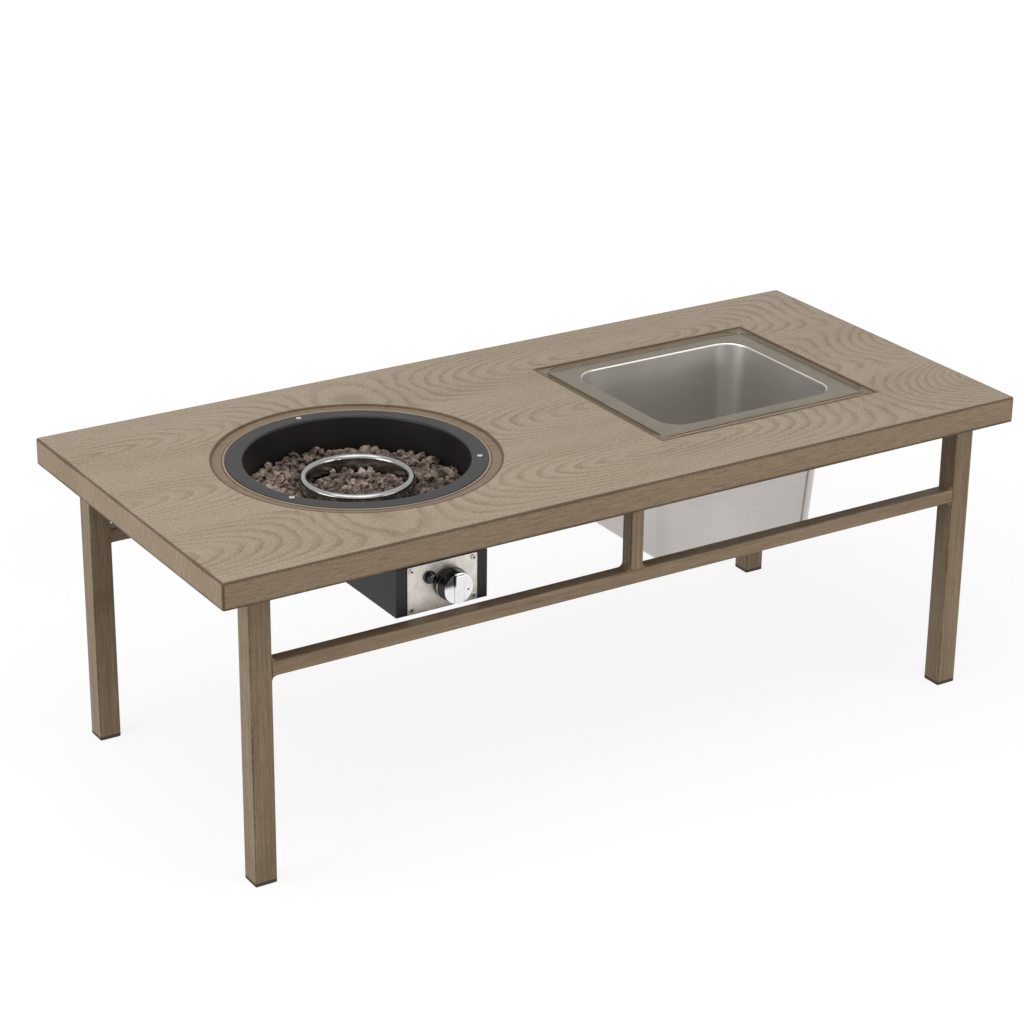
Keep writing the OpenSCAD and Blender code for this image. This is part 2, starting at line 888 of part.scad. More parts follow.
module gas_valve() {
    color("#a8a8a4")
        difference() {
            union() {
                translate([knob_x - valve_w / 2, wall_in, knob_z - valve_h / 2])
                    cube([valve_w, valve_d, valve_h]);
                translate([bowl_x - outlet_half, valve_back - outlet_d, pipe_z - outlet_half])
                    cube([knob_x - bowl_x + outlet_half, outlet_d, 2 * outlet_half]);
                rod_y(knob_x, panel_front, knob_z, boss_r, panel_t + box_sheet + 1);
            }
            rod_y(knob_x, panel_front - 1, knob_z, stem_r + running, stem_depth + push_travel + loose + 1);
            rod_y(knob_x, stem_end, knob_z, plunger_r + running, plunger_l + push_travel + loose);
            rod_y(bowl_x, valve_back - 8, pipe_z, pipe_r - pipe_wall, 9);
            rod_y(inlet_x, valve_back - 6, inlet_z, pipe_r - pipe_wall, 7);
        }
}

module valve_stem() {
    stem_front = knob_back - knob_bore + loose;
    color(brass)
        rod_y(knob_x, stem_front, knob_z, stem_r, stem_end - stem_front);
}

// The stem pushes this pin against the valve's safety magnet, and turns on its flat end
module valve_plunger() {
    color(brass)
        rod_y(knob_x, stem_end, knob_z, plunger_r, plunger_l);
}

module knob() {
    color("#1d1d1f")
        difference() {
            union() {
                rod_y(knob_x, knob_front, knob_z, knob_r - 1, knob_l);
                rod_y(knob_x, knob_back - 4, knob_z, knob_r, 4);
            }
            rod_y(knob_x, knob_back - knob_bore, knob_z, stem_r + running, knob_bore + 1);
        }
}

// The bright face of the knob, with its raised grip and a dimple that marks its turn
module knob_cap() {
    dimple_r = 1.5;
    color("#dcdcdc")
        difference() {
            union() {
                rod_y(knob_x, knob_front - cap_t, knob_z, knob_r - 1.5, cap_t);
                intersection() {
                    rod_y(knob_x, knob_front - cap_t - grip_h, knob_z, knob_r - 3, grip_h + 1);
                    translate([knob_x, knob_front - cap_t - grip_h / 2 + 0.5, knob_z])
                        cube([grip_w, grip_h + 1, 2 * knob_r], center = true);
                }
            }
            rod_y(knob_x + knob_r * 0.6, knob_front - cap_t - 1, knob_z - 5, dimple_r, cap_t / 2 + 1, $fn = 24);
        }
}

module pipe_y(x, y0, z, length) {
    difference() {
        rod_y(x, y0, z, pipe_r, length);
        rod_y(x, y0 - 1, z, pipe_r - pipe_wall, length + 2);
    }
}

module gas_pipe() {
    color("#b9b9b5")
        pipe_y(bowl_x, valve_back, pipe_z, -jet_half - valve_back);
}

module inlet_pipe() {
    color("#b9b9b5")
        pipe_y(inlet_x, valve_back, inlet_z, box_tail - box_sheet - 12 - valve_back);
}

// Hose fitting: a flange outside the box, a thread behind it and a tail inside
module gas_inlet() {
    tail = box_sheet + 12;
    color(brass)
        difference() {
            union() {
                rod_y(inlet_x, box_tail, inlet_z, inlet_r + 3, 5, $fn = 6);
                rod_y(inlet_x, box_tail + 4, inlet_z, inlet_r, inlet_l + 1);
                rod_y(inlet_x, box_tail - tail, inlet_z, inlet_r, tail + 1);
            }
            rod_y(inlet_x, box_tail - tail - 1, inlet_z, pipe_r - pipe_wall, tail + inlet_l + 8);
        }
}

module inlet_nut() {
    nut_t = 5;
    color(brass)
        difference() {
            rod_y(inlet_x, box_tail - box_sheet - nut_t, inlet_z, inlet_r + 3, nut_t, $fn = 6);
            rod_y(inlet_x, box_tail - box_sheet - nut_t - 1, inlet_z, inlet_r + running, nut_t + 2);
        }
}

// Igniter

module igniter_housing() {
    color("#1d1d1f")
        difference() {
            union() {
                rod_y(igniter_x, wall_in, igniter_z, igniter_r, housing_back - wall_in);
                rod_y(igniter_x, panel_front - ring_t, igniter_z, neck_r, wall_in - panel_front + ring_t + 1);
            }
            rod_y(igniter_x, panel_front - ring_t - 1, igniter_z, button_r + slip,
                button_bore_end - panel_front + ring_t + 1);
            rod_y(igniter_x, battery_front, igniter_z, battery_r + loose, housing_back - battery_front + 1);
        }
}

module igniter_collar() {
    color("#1d1d1f")
        difference() {
            rod_y(igniter_x, panel_front - ring_t, igniter_z, ring_r, ring_t);
            rod_y(igniter_x, panel_front - ring_t - 1, igniter_z, neck_r + running, ring_t + 2);
        }
}

module igniter_button() {
    color("#262629")
        rod_y(igniter_x, button_front, igniter_z, button_r, button_l);
}

module igniter_battery() {
    color("#c28b3a") {
        rod_y(igniter_x, battery_front + 1.5, igniter_z, battery_r, battery_l - 1.5);
        rod_y(igniter_x, battery_front, igniter_z, 2.7, 2);
    }
}

module igniter_end_cap() {
    color("#1d1d1f") {
        rod_y(igniter_x, housing_back, igniter_z, igniter_r, end_cap_t);
        rod_y(igniter_x, housing_back - loose, igniter_z, battery_r, loose + 1);
        rod_y(igniter_x, housing_back + end_cap_t - 1, igniter_z, terminal_r, terminal_l + 1);
    }
}

// Drinks pan

// A round-cornered tub, narrower at the foot, with a bend between its sides and floor
module tub(l, w, corner_r, depth, bend) {
    steps = 5;
    slope = pan_draft / pan_depth;
    hull()
        for (x = [-1, 1], y = [-1, 1])
            translate([x * (l / 2 - corner_r), y * (w / 2 - corner_r), 0]) {
                translate([-x * slope * (depth - bend), -y * slope * (depth - bend), -depth + bend])
                    linear_extrude(0.01)
                        circle(r = corner_r, $fn = 40);
                linear_extrude(0.01)
                    circle(r = corner_r, $fn = 40);
                for (i = [0 : steps - 1]) {
                    a = 90 * i / steps;
                    translate([-x * slope * depth, -y * slope * depth, -depth + bend - bend * cos(a)])
                        linear_extrude(0.01)
                            circle(r = corner_r - bend + bend * sin(a), $fn = 40);
                }
            }
}

module drinks_pan() {
    rim_t = pan_sheet;
    color(steel)
        translate([pan_x, 0, seat_z])
            difference() {
                union() {
                    linear_extrude(rim_t)
                        rounded_square(rim_l, rim_w, rim_corner_r);
                    linear_extrude(rim_roll)
                        difference() {
                            rounded_square(rim_l, rim_w, rim_corner_r);
                            rounded_square(rim_l - 8, rim_w - 8, rim_corner_r);
                        }
                    tub(mouth_l + 2 * pan_sheet, mouth_w + 2 * pan_sheet, mouth_corner_r + pan_sheet,
                        pan_depth, pan_bend + pan_sheet);
                }
                translate([0, 0, rim_t + 0.02])
                    tub(mouth_l, mouth_w, mouth_corner_r, pan_depth, pan_bend);
                linear_extrude(3 * rim_t, center = true)
                    rounded_square(mouth_l, mouth_w, mouth_corner_r);
            }
}

tabletop();
bowl_seat();
leg(-1, -1);  // leg_front_left
leg(1, -1);  // leg_front_right
leg(-1, 1);  // leg_rear_left
leg(1, 1);  // leg_rear_right
foot(-1, -1);  // foot_front_left
foot(1, -1);  // foot_front_right
foot(-1, 1);  // foot_rear_left
foot(1, 1);  // foot_rear_right
long_bar(-1, rail_z);  // front_rail
long_bar(1, rail_z);  // rear_rail
post(-1);  // front_post
post(1);  // rear_post
top_bar(-1);  // front_top_bar
top_bar(1);  // rear_top_bar
end_cross_bar(-1);  // left_cross_bar
middle_cross_bar();
end_cross_bar(1);  // right_cross_bar
corner_plates();
corner_screws();
fire_bowl();
flange_screws();
flange_nuts();
burner_collar();
burner_head();
mixer_tube();
gas_jet();
lava_bed();
lava_burner();
electrode();
ignition_lead();
thermocouple();
thermocouple_lead();
control_box();
control_panel();
panel_screws();
gas_valve();
valve_plunger();
valve_stem();
knob();
knob_cap();
gas_pipe();
inlet_pipe();
gas_inlet();
inlet_nut();
igniter_housing();
igniter_collar();
igniter_button();
igniter_battery();
igniter_end_cap();
drinks_pan();
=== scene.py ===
# %% [markdown]
# # A fire pit table, dressed in Blender
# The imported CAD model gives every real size. This lesson loads it as a fixed frame, models the pieces that
# show by hand, mixes the finishes and lights the table as a studio would. Lengths are in millimetres, and
# MM turns them into Blender's metres.

# %% Load the frame
import json
import math
import random
from collections import Counter

import bpy
from mathutils import Euler, Matrix, Vector


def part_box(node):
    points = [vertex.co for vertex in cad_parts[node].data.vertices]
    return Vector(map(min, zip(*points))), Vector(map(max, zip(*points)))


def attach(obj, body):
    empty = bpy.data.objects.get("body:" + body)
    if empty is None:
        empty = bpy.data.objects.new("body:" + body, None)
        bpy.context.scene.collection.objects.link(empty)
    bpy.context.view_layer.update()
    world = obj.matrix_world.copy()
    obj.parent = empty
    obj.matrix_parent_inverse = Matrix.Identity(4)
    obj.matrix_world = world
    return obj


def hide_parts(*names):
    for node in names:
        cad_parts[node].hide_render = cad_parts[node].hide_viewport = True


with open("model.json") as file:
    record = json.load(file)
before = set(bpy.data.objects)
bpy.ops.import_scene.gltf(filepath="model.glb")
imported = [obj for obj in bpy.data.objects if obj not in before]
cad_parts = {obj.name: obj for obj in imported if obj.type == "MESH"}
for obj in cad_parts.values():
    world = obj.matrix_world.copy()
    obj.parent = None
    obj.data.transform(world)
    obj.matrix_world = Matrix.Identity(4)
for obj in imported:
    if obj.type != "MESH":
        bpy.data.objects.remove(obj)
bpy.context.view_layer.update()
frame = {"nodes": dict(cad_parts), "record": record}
MM = 0.001

# %% [markdown]
# ## Sizes from the frame
# Each main size and place is read from the box of a CAD node, to a tenth of a millimetre. Typing the
# numbers in again would work until somebody changes the CAD model. Main pressed sizes, which a box can't
# tell, are named here too.

# %% Sizes from the frame


def node_span(node, axis):
    """The lowest and the highest place of a CAD node along an axis, in mm."""
    low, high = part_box(node)
    return round(low[axis] / MM, 1), round(high[axis] / MM, 1)


def node_middle(node, axis):
    return sum(node_span(node, axis)) / 2


def node_half(node, axis):
    low, high = node_span(node, axis)
    return (high - low) / 2


def node_back(node):
    """The middle of the back of a round piece that faces the table's front."""
    return node_middle(node, 0), node_span(node, 1)[1], node_middle(node, 2)


def grown(half, by):
    """A half length and a half width that are both larger by some mm."""
    return half[0] + by, half[1] + by


LENGTH, WIDTH = (2 * node_half("tabletop", axis) for axis in (0, 1))
APRON_FOOT, TOP = node_span("tabletop", 2)
SHEET, HEM, SEAT_DROP = 1.5, 12, 3
UNDER, SEAT = TOP - SHEET, TOP - SEAT_DROP

BOWL = (node_middle("fire_bowl", 0), 0)
FLANGE_R, FLANGE = node_half("fire_bowl", 0), node_span("fire_bowl", 2)[1]
BOWL_FLOOR = node_span("burner_collar", 2)[0]
BOWL_R, BOWL_HOLE_R, BOWL_SEAT_R = 161, 166.2, 203

PAN = (node_middle("drinks_pan", 0), 0)
PAN_RIM = (node_half("drinks_pan", 0), node_half("drinks_pan", 1))
PAN_MOUTH, PAN_HOLE, PAN_SEAT = (152.5, 131), (157.5, 136), (193, 170)
BEAD_OUT = 2.7  # from a rim to the middle of the bead round it

LEG = (node_middle("leg_front_right", 0), -node_middle("leg_front_right", 1))
LEG_HALF = node_half("leg_front_right", 0)
RAIL_FOOT, RAIL_TOP = node_span("front_rail", 2)
RAIL_END, RAIL_Y = node_half("front_rail", 0), -node_middle("front_rail", 1)
RAIL_Z = node_middle("front_rail", 2)
BAR_Z, TUBE_HALF = node_middle("front_top_bar", 2), node_half("front_top_bar", 2)

KNOB = node_back("knob")
IGNITER = node_back("igniter_collar")
print("top", (LENGTH, WIDTH, TOP), "bowl at", BOWL, "pan at", PAN, "leg at", LEG, "knob at", KNOB)

# %% [markdown]
# ## The camera
# A product photo is taken with a long lens from far away, so parallel edges stay almost parallel. Place and
# turn were worked out from the corners of the top and the four feet. Aiming by eye would bend every
# outline, so the three turns are written down.

# %% Camera
swung, tipped, rolled = -32.44, 67.08, 0.66
bpy.ops.object.camera_add(location=(-2.1005, -3.2410, 1.9539))
camera = bpy.context.object
turn = Matrix.Rotation(math.radians(swung), 4, "Z") @ Matrix.Rotation(math.radians(tipped), 4, "X")
turn = turn @ Matrix.Rotation(math.radians(rolled), 4, "Z")
camera.rotation_euler = turn.to_euler()
camera.data.lens = 99.59
camera.data.sensor_width = 36
camera.data.clip_end = 60
bpy.context.scene.camera = camera
bpy.context.scene.view_settings.view_transform = "Standard"
print("camera stands", round(camera.location.length, 2), "m from the table's middle")

# %% [markdown]
# ## Shader maths that reads like Python
# A finish is a small calculation for each point of a surface: how far is it from an edge, which growth ring
# is it in. Blender draws that as a web of nodes, which is slow to wire by hand. So Value wraps one socket
# and gives it the signs + - * / **, each made by by_math from a Math operation's name. Finish holds one
# material, and its method node adds any other node from its type, its settings and what goes into its
# sockets.

# %% Value: one number on a surface


def by_math(operation):
    """A method that sends a value, and any others after it, through one Math node."""
    def method(self, *others):
        return self.math(operation, self, *others)
    return method


def by_math_turned(operation):
    """The same with the other number first, as in 1 - value."""
    def method(self, other):
        return self.math(operation, other, self)
    return method


class Value:
    __add__, __radd__ = by_math("ADD"), by_math_turned("ADD")
    __sub__, __rsub__ = by_math("SUBTRACT"), by_math_turned("SUBTRACT")
    __mul__, __rmul__ = by_math("MULTIPLY"), by_math_turned("MULTIPLY")
    __truediv__, __rtruediv__ = by_math("DIVIDE"), by_math_turned("DIVIDE")
    __pow__, __abs__ = by_math("POWER"), by_math("ABSOLUTE")
    least, most, smooth_least = by_math("MINIMUM"), by_math("MAXIMUM"), by_math("SMOOTH_MIN")
    above, side, swing = by_math("GREATER_THAN"), by_math("SIGN"), by_math("PINGPONG")
    whole, rest = by_math("FLOOR"), by_math("FRACT")

    def __init__(self, finish, socket):
        self.finish, self.socket = finish, socket

    def math(self, operation, *numbers):
        return self.finish.node("ShaderNodeMath", {"operation": operation}, dict(enumerate(numbers)))

    def rise(self, low, high):
        """0 below low, 1 above high, and a soft step between them."""
        return self.finish.node("ShaderNodeMapRange", {"interpolation_type": "SMOOTHSTEP"},
                                {0: self, 1: low, 2: high})


# %% Finish: one material


class Finish:
    def __init__(self, name, metal=0.0, roughness=0.5, coat=0.0, shine=0.5):
        self.material = bpy.data.materials.new(name)
        self.material.use_nodes = True
        self.tree = self.material.node_tree
        self.shader = self.tree.nodes["Principled BSDF"]
        looks = {"Metallic": metal, "Roughness": roughness, "Coat Weight": coat, "Specular IOR Level": shine}
        for key, value in looks.items():
            self.feed(self.shader.inputs[key], value)
        place = self.node("ShaderNodeTexCoord", output="Object")
        parts = [self.node("ShaderNodeSeparateXYZ", {}, {0: place}, output=axis) for axis in range(3)]
        self.x, self.y, self.z = (part * (1 / MM) for part in parts)

    def feed(self, socket, value):
        if isinstance(value, Value):
            self.tree.links.new(value.socket, socket)
        else:
            socket.default_value = value

    def node(self, kind, settings=None, inputs=None, output=0):
        made = self.tree.nodes.new(kind)
        for key, value in (settings or {}).items():
            if key == "stops":
                ramp = made.color_ramp.elements
                while len(ramp) < len(value):
                    ramp.new(0.5)
                for stop, (at, colour) in zip(ramp, value):
                    stop.position, stop.color = at, (*colour, 1)
            else:
                setattr(made, key, value)
        for key, value in (inputs or {}).items():
            self.feed(made.inputs[key], value)
        return Value(self, made.outputs[output])

    def at(self, x, y, z=0.0):
        """A place to look a pattern up at; dividing a length by n stretches the pattern n times."""
        return self.node("ShaderNodeCombineXYZ", {}, {0: x, 1: y, 2: z})

    def noise(self, where, scale=1.0, detail=2.0, roughness=0.5, distortion=0.0):
        return self.node("ShaderNodeTexNoise", {}, {"Vector": where, "Scale": scale, "Detail": detail,
                                                    "Roughness": roughness, "Distortion": distortion})

    def cells(self, where, scale):
        return self.node("ShaderNodeTexVoronoi", {}, {"Vector": where, "Scale": scale})

    def ramp(self, value, *stops):
        return self.node("ShaderNodeValToRGB", {"stops": stops}, {0: value})

    def blend(self, amount, first, second, mode="MIX"):
        colours = {6: first, 7: second}
        for key, colour in colours.items():
            if not isinstance(colour, Value):
                colours[key] = (*colour, 1)
        return self.node("ShaderNodeMix", {"data_type": "RGBA", "blend_type": mode, "clamp_factor": True},
                         {0: amount, **colours}, output=2)

    def bump(self, height, depth_mm):
        relief = {"Strength": 1.0, "Distance": depth_mm * MM, "Height": height}
        self.feed(self.shader.inputs["Normal"], self.node("ShaderNodeBump", {}, relief))

    def wear(self, colour, roughness):
        """Sends the patterns of colour and roughness to the shader."""
        self.feed(self.shader.inputs["Base Color"], colour)
        self.feed(self.shader.inputs["Roughness"], roughness)
        return self.material


def paint(red, green, blue):
    """A colour given from 0 to 255, as the linear light that a shader reckons with."""
    shares = (value / 255 for value in (red, green, blue))
    return tuple(share / 12.92 if share <= 0.04045 else ((share + 0.055) / 1.055) ** 2.4 for share in shares)


print("a mid grey of 128 is", round(paint(128, 128, 128)[0], 3), "in linear light")

# %% [markdown]
# ## Oak look on folded sheet
# The top is steel with a printed and lacquered oak pattern. Flat-sawn boards show long arches, because the
# saw cuts the tree's cones of growth at a slant. So the pattern is a distance from the tree's core: across
# a board it is the distance from the board's middle, and along it the core dives away from two places where
# it comes near the face. Whole numbers of the distance are the rings. Three boards lie side by side, each
# shifted a little. A plain wave texture would give straight stripes. The print runs over the folds, so the
# drop below the top is added to the length or the width first, and the aprons show only streaks. Worn
# arrises are found with the middle one of three distances, which is small only where two faces meet.

# %% Oak colours and grain
BOARD = WIDTH / 3
OAK_DARK, OAK_DEEP = paint(78, 58, 38), paint(118, 99, 77)
OAK, OAK_PALE = paint(161, 145, 124), paint(186, 172, 152)
# The aprons get a warmer tint as painted shade; the tubes' tint is their own colour.
APRON_SHADE_TINT, TUBE_TINT = (1.0, 0.94, 0.86), (1.0, 0.94, 0.85)


def oak_colours(skin, tone, worn, pores):
    """Lays the tone of the print, its pores, the dark worn edges and any painted shade over each other."""
    colour = skin.ramp(tone, (0.0, OAK_DEEP), (0.5, OAK), (1.0, OAK_PALE))
    colour = skin.blend(pores, colour, OAK_DEEP)
    return skin.blend(worn, colour, OAK_DARK)


def grain_on(skin, along, across):
    """A function that gives noise on two coordinates, stretched to long mm one way and wide mm the other."""
    def grain(long, wide, shift, **look):
        return skin.noise(skin.at(along / long, across / wide, shift), **look)
    return grain


# %% [markdown]
# ## Painted shade and highlights round the two seats
# Where the sheet is pressed down, shade and highlights are painted into the colour: a dark line of shade
# along the step and another beside the bead, a browner band of shade below the step, and a pale painted
# highlight on the bead. Each mark is a soft mask of the distance to the seat's edge. Painting them on an
# image would work for one size only.

# %% Painted shade and highlights round the seats
BOWL_BEAD_MARK, PAN_BEAD_MARK = BOWL_SEAT_R - FLANGE_R - BEAD_OUT, 8.3


def seat_shade_and_highlights(skin):
    """Painted shade at the two seats, as dark lines and a shaded band, and painted highlights on the beads.
    """
    from_bowl = ((skin.x - BOWL[0]) ** 2 + skin.y ** 2) ** 0.5 - BOWL_SEAT_R
    from_pan = (abs(skin.x - PAN[0]) - PAN_SEAT[0]).most(abs(skin.y) - PAN_SEAT[1])
    shade_lines, shaded_band, bead_highlights = 0.0, 0.0, 0.0
    for gap, bead in ((from_bowl, BOWL_BEAD_MARK), (from_pan, PAN_BEAD_MARK)):
        step = 1 - abs(gap - 2.0).rise(1.5, 2.9)
        groove_shade = 1 - abs(abs(gap + bead) - 2.3).rise(0.6, 1.6)
        shade_lines = (step * 0.9).most(groove_shade * 0.8).most(shade_lines)
        shaded_band = (1 - gap.rise(-1, 0)).most(shaded_band)
        bead_highlights = (1 - abs(gap + bead).rise(0.7, 1.6)).most(bead_highlights)
    return shade_lines, shaded_band, bead_highlights


# %% The finish of the top


def oak_top():
    skin = Finish("wood_top", roughness=0.55, shine=0.25)
    drop = (TOP - skin.z).most(0.0)
    along = skin.x + skin.x.side() * drop * abs(skin.x).above(LENGTH / 2 - 1.8)
    over = skin.y + skin.y.side() * drop * abs(skin.y).above(WIDTH / 2 - 1.8)
    ends, sides = LENGTH / 2 - abs(skin.x), WIDTH / 2 - abs(skin.y)
    apron = drop.rise(0.5, 4) * (1 - ends.least(sides).above(4))
    grain = grain_on(skin, along, over)

    bend = grain(300, 110, 0.0) - 0.5
    lean = grain(90, 40, 4.0, detail=3.0) - 0.5
    row = (over / BOARD + 0.5).whole()
    across = (over + bend * 30 + lean * 6).swing(BOARD / 2)
    shifted = along + bend * 60 - row * 85
    away = abs(shifted - 165).smooth_least(abs(shifted + 735), 200)
    core = (away * 0.12 + away ** 2 * 0.0004) * (1 - 0.55 * (across / (BOARD / 2)) ** 2)
    jag = grain(11, 2.8, 2.0) - 0.5
    rings = ((across ** 2 + core ** 2) ** 0.5) / 8.6 + jag * 0.42 + lean * 0.5

    late = rings.rest().rise(0.40, 0.94) * (1 - rings.rest().rise(0.94, 1.0))
    late = late * (1 - 0.75 * across.rise(BOARD * 0.34, BOARD * 0.5)) * (1 - apron)
    fade = grain(130, 40, 8.0).rise(0.32, 0.64)
    streak = grain(34, 1.5, 1.0, detail=3.0, roughness=0.62)
    speck = grain(4.5, 1.9, 5.0, roughness=0.6)
    broad = grain(420, 100, 6.0)
    tone = 0.53 + (streak - 0.5) * (0.65 + 0.75 * apron) + (speck - 0.5) * (1.3 - 0.6 * apron)
    # The aprons are painted a little darker, as shade.
    tone = tone + (broad - 0.5) * 0.42 - late * (0.08 + 0.20 * fade) - apron * 0.05
    pores = grain(15, 1.1, 9.0, detail=1.0).rise(0.58, 0.72) * (0.28 + 0.3 * late + 0.25 * apron)

    edge = drop.least(skin.z - APRON_FOOT)
    near = ends.least(sides).most(ends.most(sides).least(edge))
    worn = 1 - (near + (speck - 0.5) * 3 + (broad - 0.5) * 5).rise(1.2, 4.6)
    # Painted shade along the steps, beside the beads and on the band inside the steps; painted highlights on
    # the beads.
    shade_lines, shaded_band, bead_highlights = seat_shade_and_highlights(skin)
    colour = skin.blend(shaded_band * 0.72, oak_colours(skin, tone, worn * 0.85, pores), OAK_DEEP)
    # Painted shade: a warmer tint on the aprons.
    colour = skin.blend(apron, colour, APRON_SHADE_TINT, "MULTIPLY")
    colour = skin.blend(shade_lines, colour, OAK_DARK)
    colour = skin.blend(bead_highlights * 0.5, colour, OAK_PALE)
    skin.bump((streak * 0.5 + speck * 0.5) - late * 0.35 - pores, 0.28)
    return skin.wear(colour, 0.50 + (speck - 0.5) * 0.2 + late * 0.06)


WOOD_TOP = oak_top()
print("nodes in the oak of the top:", len(WOOD_TOP.node_tree.nodes))

# %% [markdown]
# ## The same print on square tube
# On a tube the grain runs lengthwise and wraps round the four sides, so the sum of the two cross
# coordinates takes the place of the width. The arrises are rubbed dark, and the distance to them is found
# from the middle and the half width of each section. The rail's top, shaded by the table above it, is
# painted darker.

# %% Oak on tubes


def oak_tube(name, along, middles, half, light=0.37, shaded_above=TOP):
    """along is 0, 1 or 2; middles are the section's middle on the two other axes, from the table's middle."""
    skin = Finish(name, roughness=0.5, shine=0.25)
    axes = [skin.x, skin.y, skin.z]
    lengthwise = axes.pop(along)
    first, second = (abs(abs(axis) - middle) if middle else abs(axis) for axis, middle in zip(axes, middles))
    grain = grain_on(skin, lengthwise, axes[0] + axes[1])
    streak = grain(46, 1.7, 1.0, detail=3.0, roughness=0.65)
    bands = grain(210, 6.5, 3.0, distortion=0.4)
    speck = grain(7, 1.8, 5.0)
    broad = grain(260, 60, 7.0, detail=1.0)
    tone = light + (streak - 0.5) * 0.95 + (bands - 0.5) * 0.75 + (speck - 0.5) * 0.35 + (broad - 0.5) * 0.3
    pores = grain(24, 1.2, 9.0, detail=1.0).rise(0.58, 0.72) * 0.45
    near = half - first.least(second) + (speck - 0.5) * 1.6 + (broad - 0.5) * 2
    # Painted shade: above the given height the tube is darker, on the rail's top under the table.
    worn = ((1 - near.rise(0.3, 2.0)) * 0.75).most(skin.z.above(shaded_above) * 0.5)
    skin.bump(streak * 0.6 + speck * 0.3 - pores, 0.25)
    colour = skin.blend(1.0, oak_colours(skin, tone, worn, pores), TUBE_TINT, "MULTIPLY")
    return skin.wear(colour, 0.46 + (speck - 0.5) * 0.2)


WOOD_LEG = oak_tube("wood_leg", 2, LEG, LEG_HALF, 0.35)
WOOD_POST = oak_tube("wood_post", 2, (0, RAIL_Y), TUBE_HALF, 0.54)
WOOD_RAIL = oak_tube("wood_rail", 0, (RAIL_Y, RAIL_Z), TUBE_HALF, 0.44, shaded_above=RAIL_TOP - 0.3)
WOOD_WELD = oak_tube("wood_weld", 0, (RAIL_Y, RAIL_Z), 40, 0.40)
WOOD_BAR = oak_tube("wood_bar", 0, (RAIL_Y, BAR_Z), TUBE_HALF)
WOOD_CROSS = oak_tube("wood_cross", 1, (LEG[0], BAR_Z), TUBE_HALF)
print("nodes in the oak of a tube:", len(WOOD_LEG.node_tree.nodes))

# %% [markdown]
# ## Metals, paints and the small parts
# The other finishes differ only in a few numbers: two colours that mottle into each other, how rough the
# surface is, how much that varies, and how deep its relief is. One function mixes them. Its grain factors
# stretch the pattern: equal ones give cast or painted skin, unequal ones brushed metal. Details too small
# to model get painted shade: dark masks by place, handed in as marks.

# %% Painted shade on the knob and the screws
SHADE_DARK = paint(46, 44, 45)
SCREW_INSET = 6
SCREWS_X, SCREWS_Z = (node_half("control_panel", axis) - SCREW_INSET for axis in (0, 2))
PANEL_Z = node_middle("control_panel", 2)


def knob_shade(skin):
    """Painted shade for the dimple in the knob's face and for the hollow beside the upper end of its grip."""
    across, up = skin.x - KNOB[0], skin.z - KNOB[2]
    dimple = 1 - (((across - 14.4) ** 2 + (up + 4) ** 2) ** 0.5).rise(1.0, 1.9)
    hollow = (0 - across).rise(5.5, 7.4) * up.rise(0.5, 8.0)
    return dimple.most(hollow * 0.95)


def recess_marks(skin):
    """The shade in the cross recess of each panel screw."""
    across, up = abs(skin.x - BOWL[0]) - SCREWS_X, abs(skin.z - PANEL_Z) - SCREWS_Z
    return 1 - ((across ** 2 + up ** 2) ** 0.5).rise(1.2, 2.0)


# %% One recipe for coats and metals
FINISH = {}


def recipe(name, first, second, roughness, spread=0.12, metal=0.0, coat=0.0, grain=(3, 3, 3), depth=0.02,
           cloud=60, shine=0.5, shade_marks=None):
    """Mixes two colours, given from 0 to 255, and keeps the finish under its name."""
    skin = Finish(name, metal=metal, roughness=roughness, coat=coat, shine=shine)
    where = skin.at(skin.x / grain[0], skin.y / grain[1], skin.z / grain[2])
    fine = skin.noise(where, detail=3.0, roughness=0.6)
    wide = skin.noise(skin.at(skin.x / cloud, skin.y / cloud, skin.z / cloud), detail=3.0)
    mix = fine.rise(0.3, 0.7) * 0.6 + wide.rise(0.35, 0.65) * 0.4
    skin.bump(fine, depth)
    colour = skin.blend(mix, paint(*first), paint(*second))
    # Painted shade for details too small to model.
    if shade_marks:
        colour = skin.blend(shade_marks(skin), colour, SHADE_DARK)
    FINISH[name] = skin.wear(colour, roughness + (fine - 0.5) * spread + (wide - 0.5) * spread)


# %% Paints and plastics
recipe("bowl_black", (20, 18, 18), (30, 28, 27), 0.46, grain=(1.2, 1.2, 1.2), depth=0.05, shine=0.32)
recipe("box_black", (32, 29, 30), (40, 37, 38), 0.48, 0.1, grain=(1, 1, 1), depth=0.06, shine=0.35)
recipe("ceramic", (226, 222, 210), (240, 237, 228), 0.28, 0.08, coat=0.4)
recipe("lead_red", (150, 30, 24), (168, 40, 32), 0.45, 0.08, depth=0.03)
recipe("knob_black", (16, 16, 17), (24, 24, 25), 0.30, 0.1, grain=(1, 1, 1))
recipe("igniter_black", (15, 15, 16), (22, 22, 23), 0.12, 0.05, coat=0.3, depth=0.01)
recipe("battery", (52, 56, 62), (62, 66, 72), 0.35, 0.08, coat=0.3, depth=0.01)
recipe("foot", (46, 38, 31), (60, 50, 42), 0.6, grain=(1.5, 1.5, 1.5), depth=0.08)
print("paints and plastics:", list(FINISH))

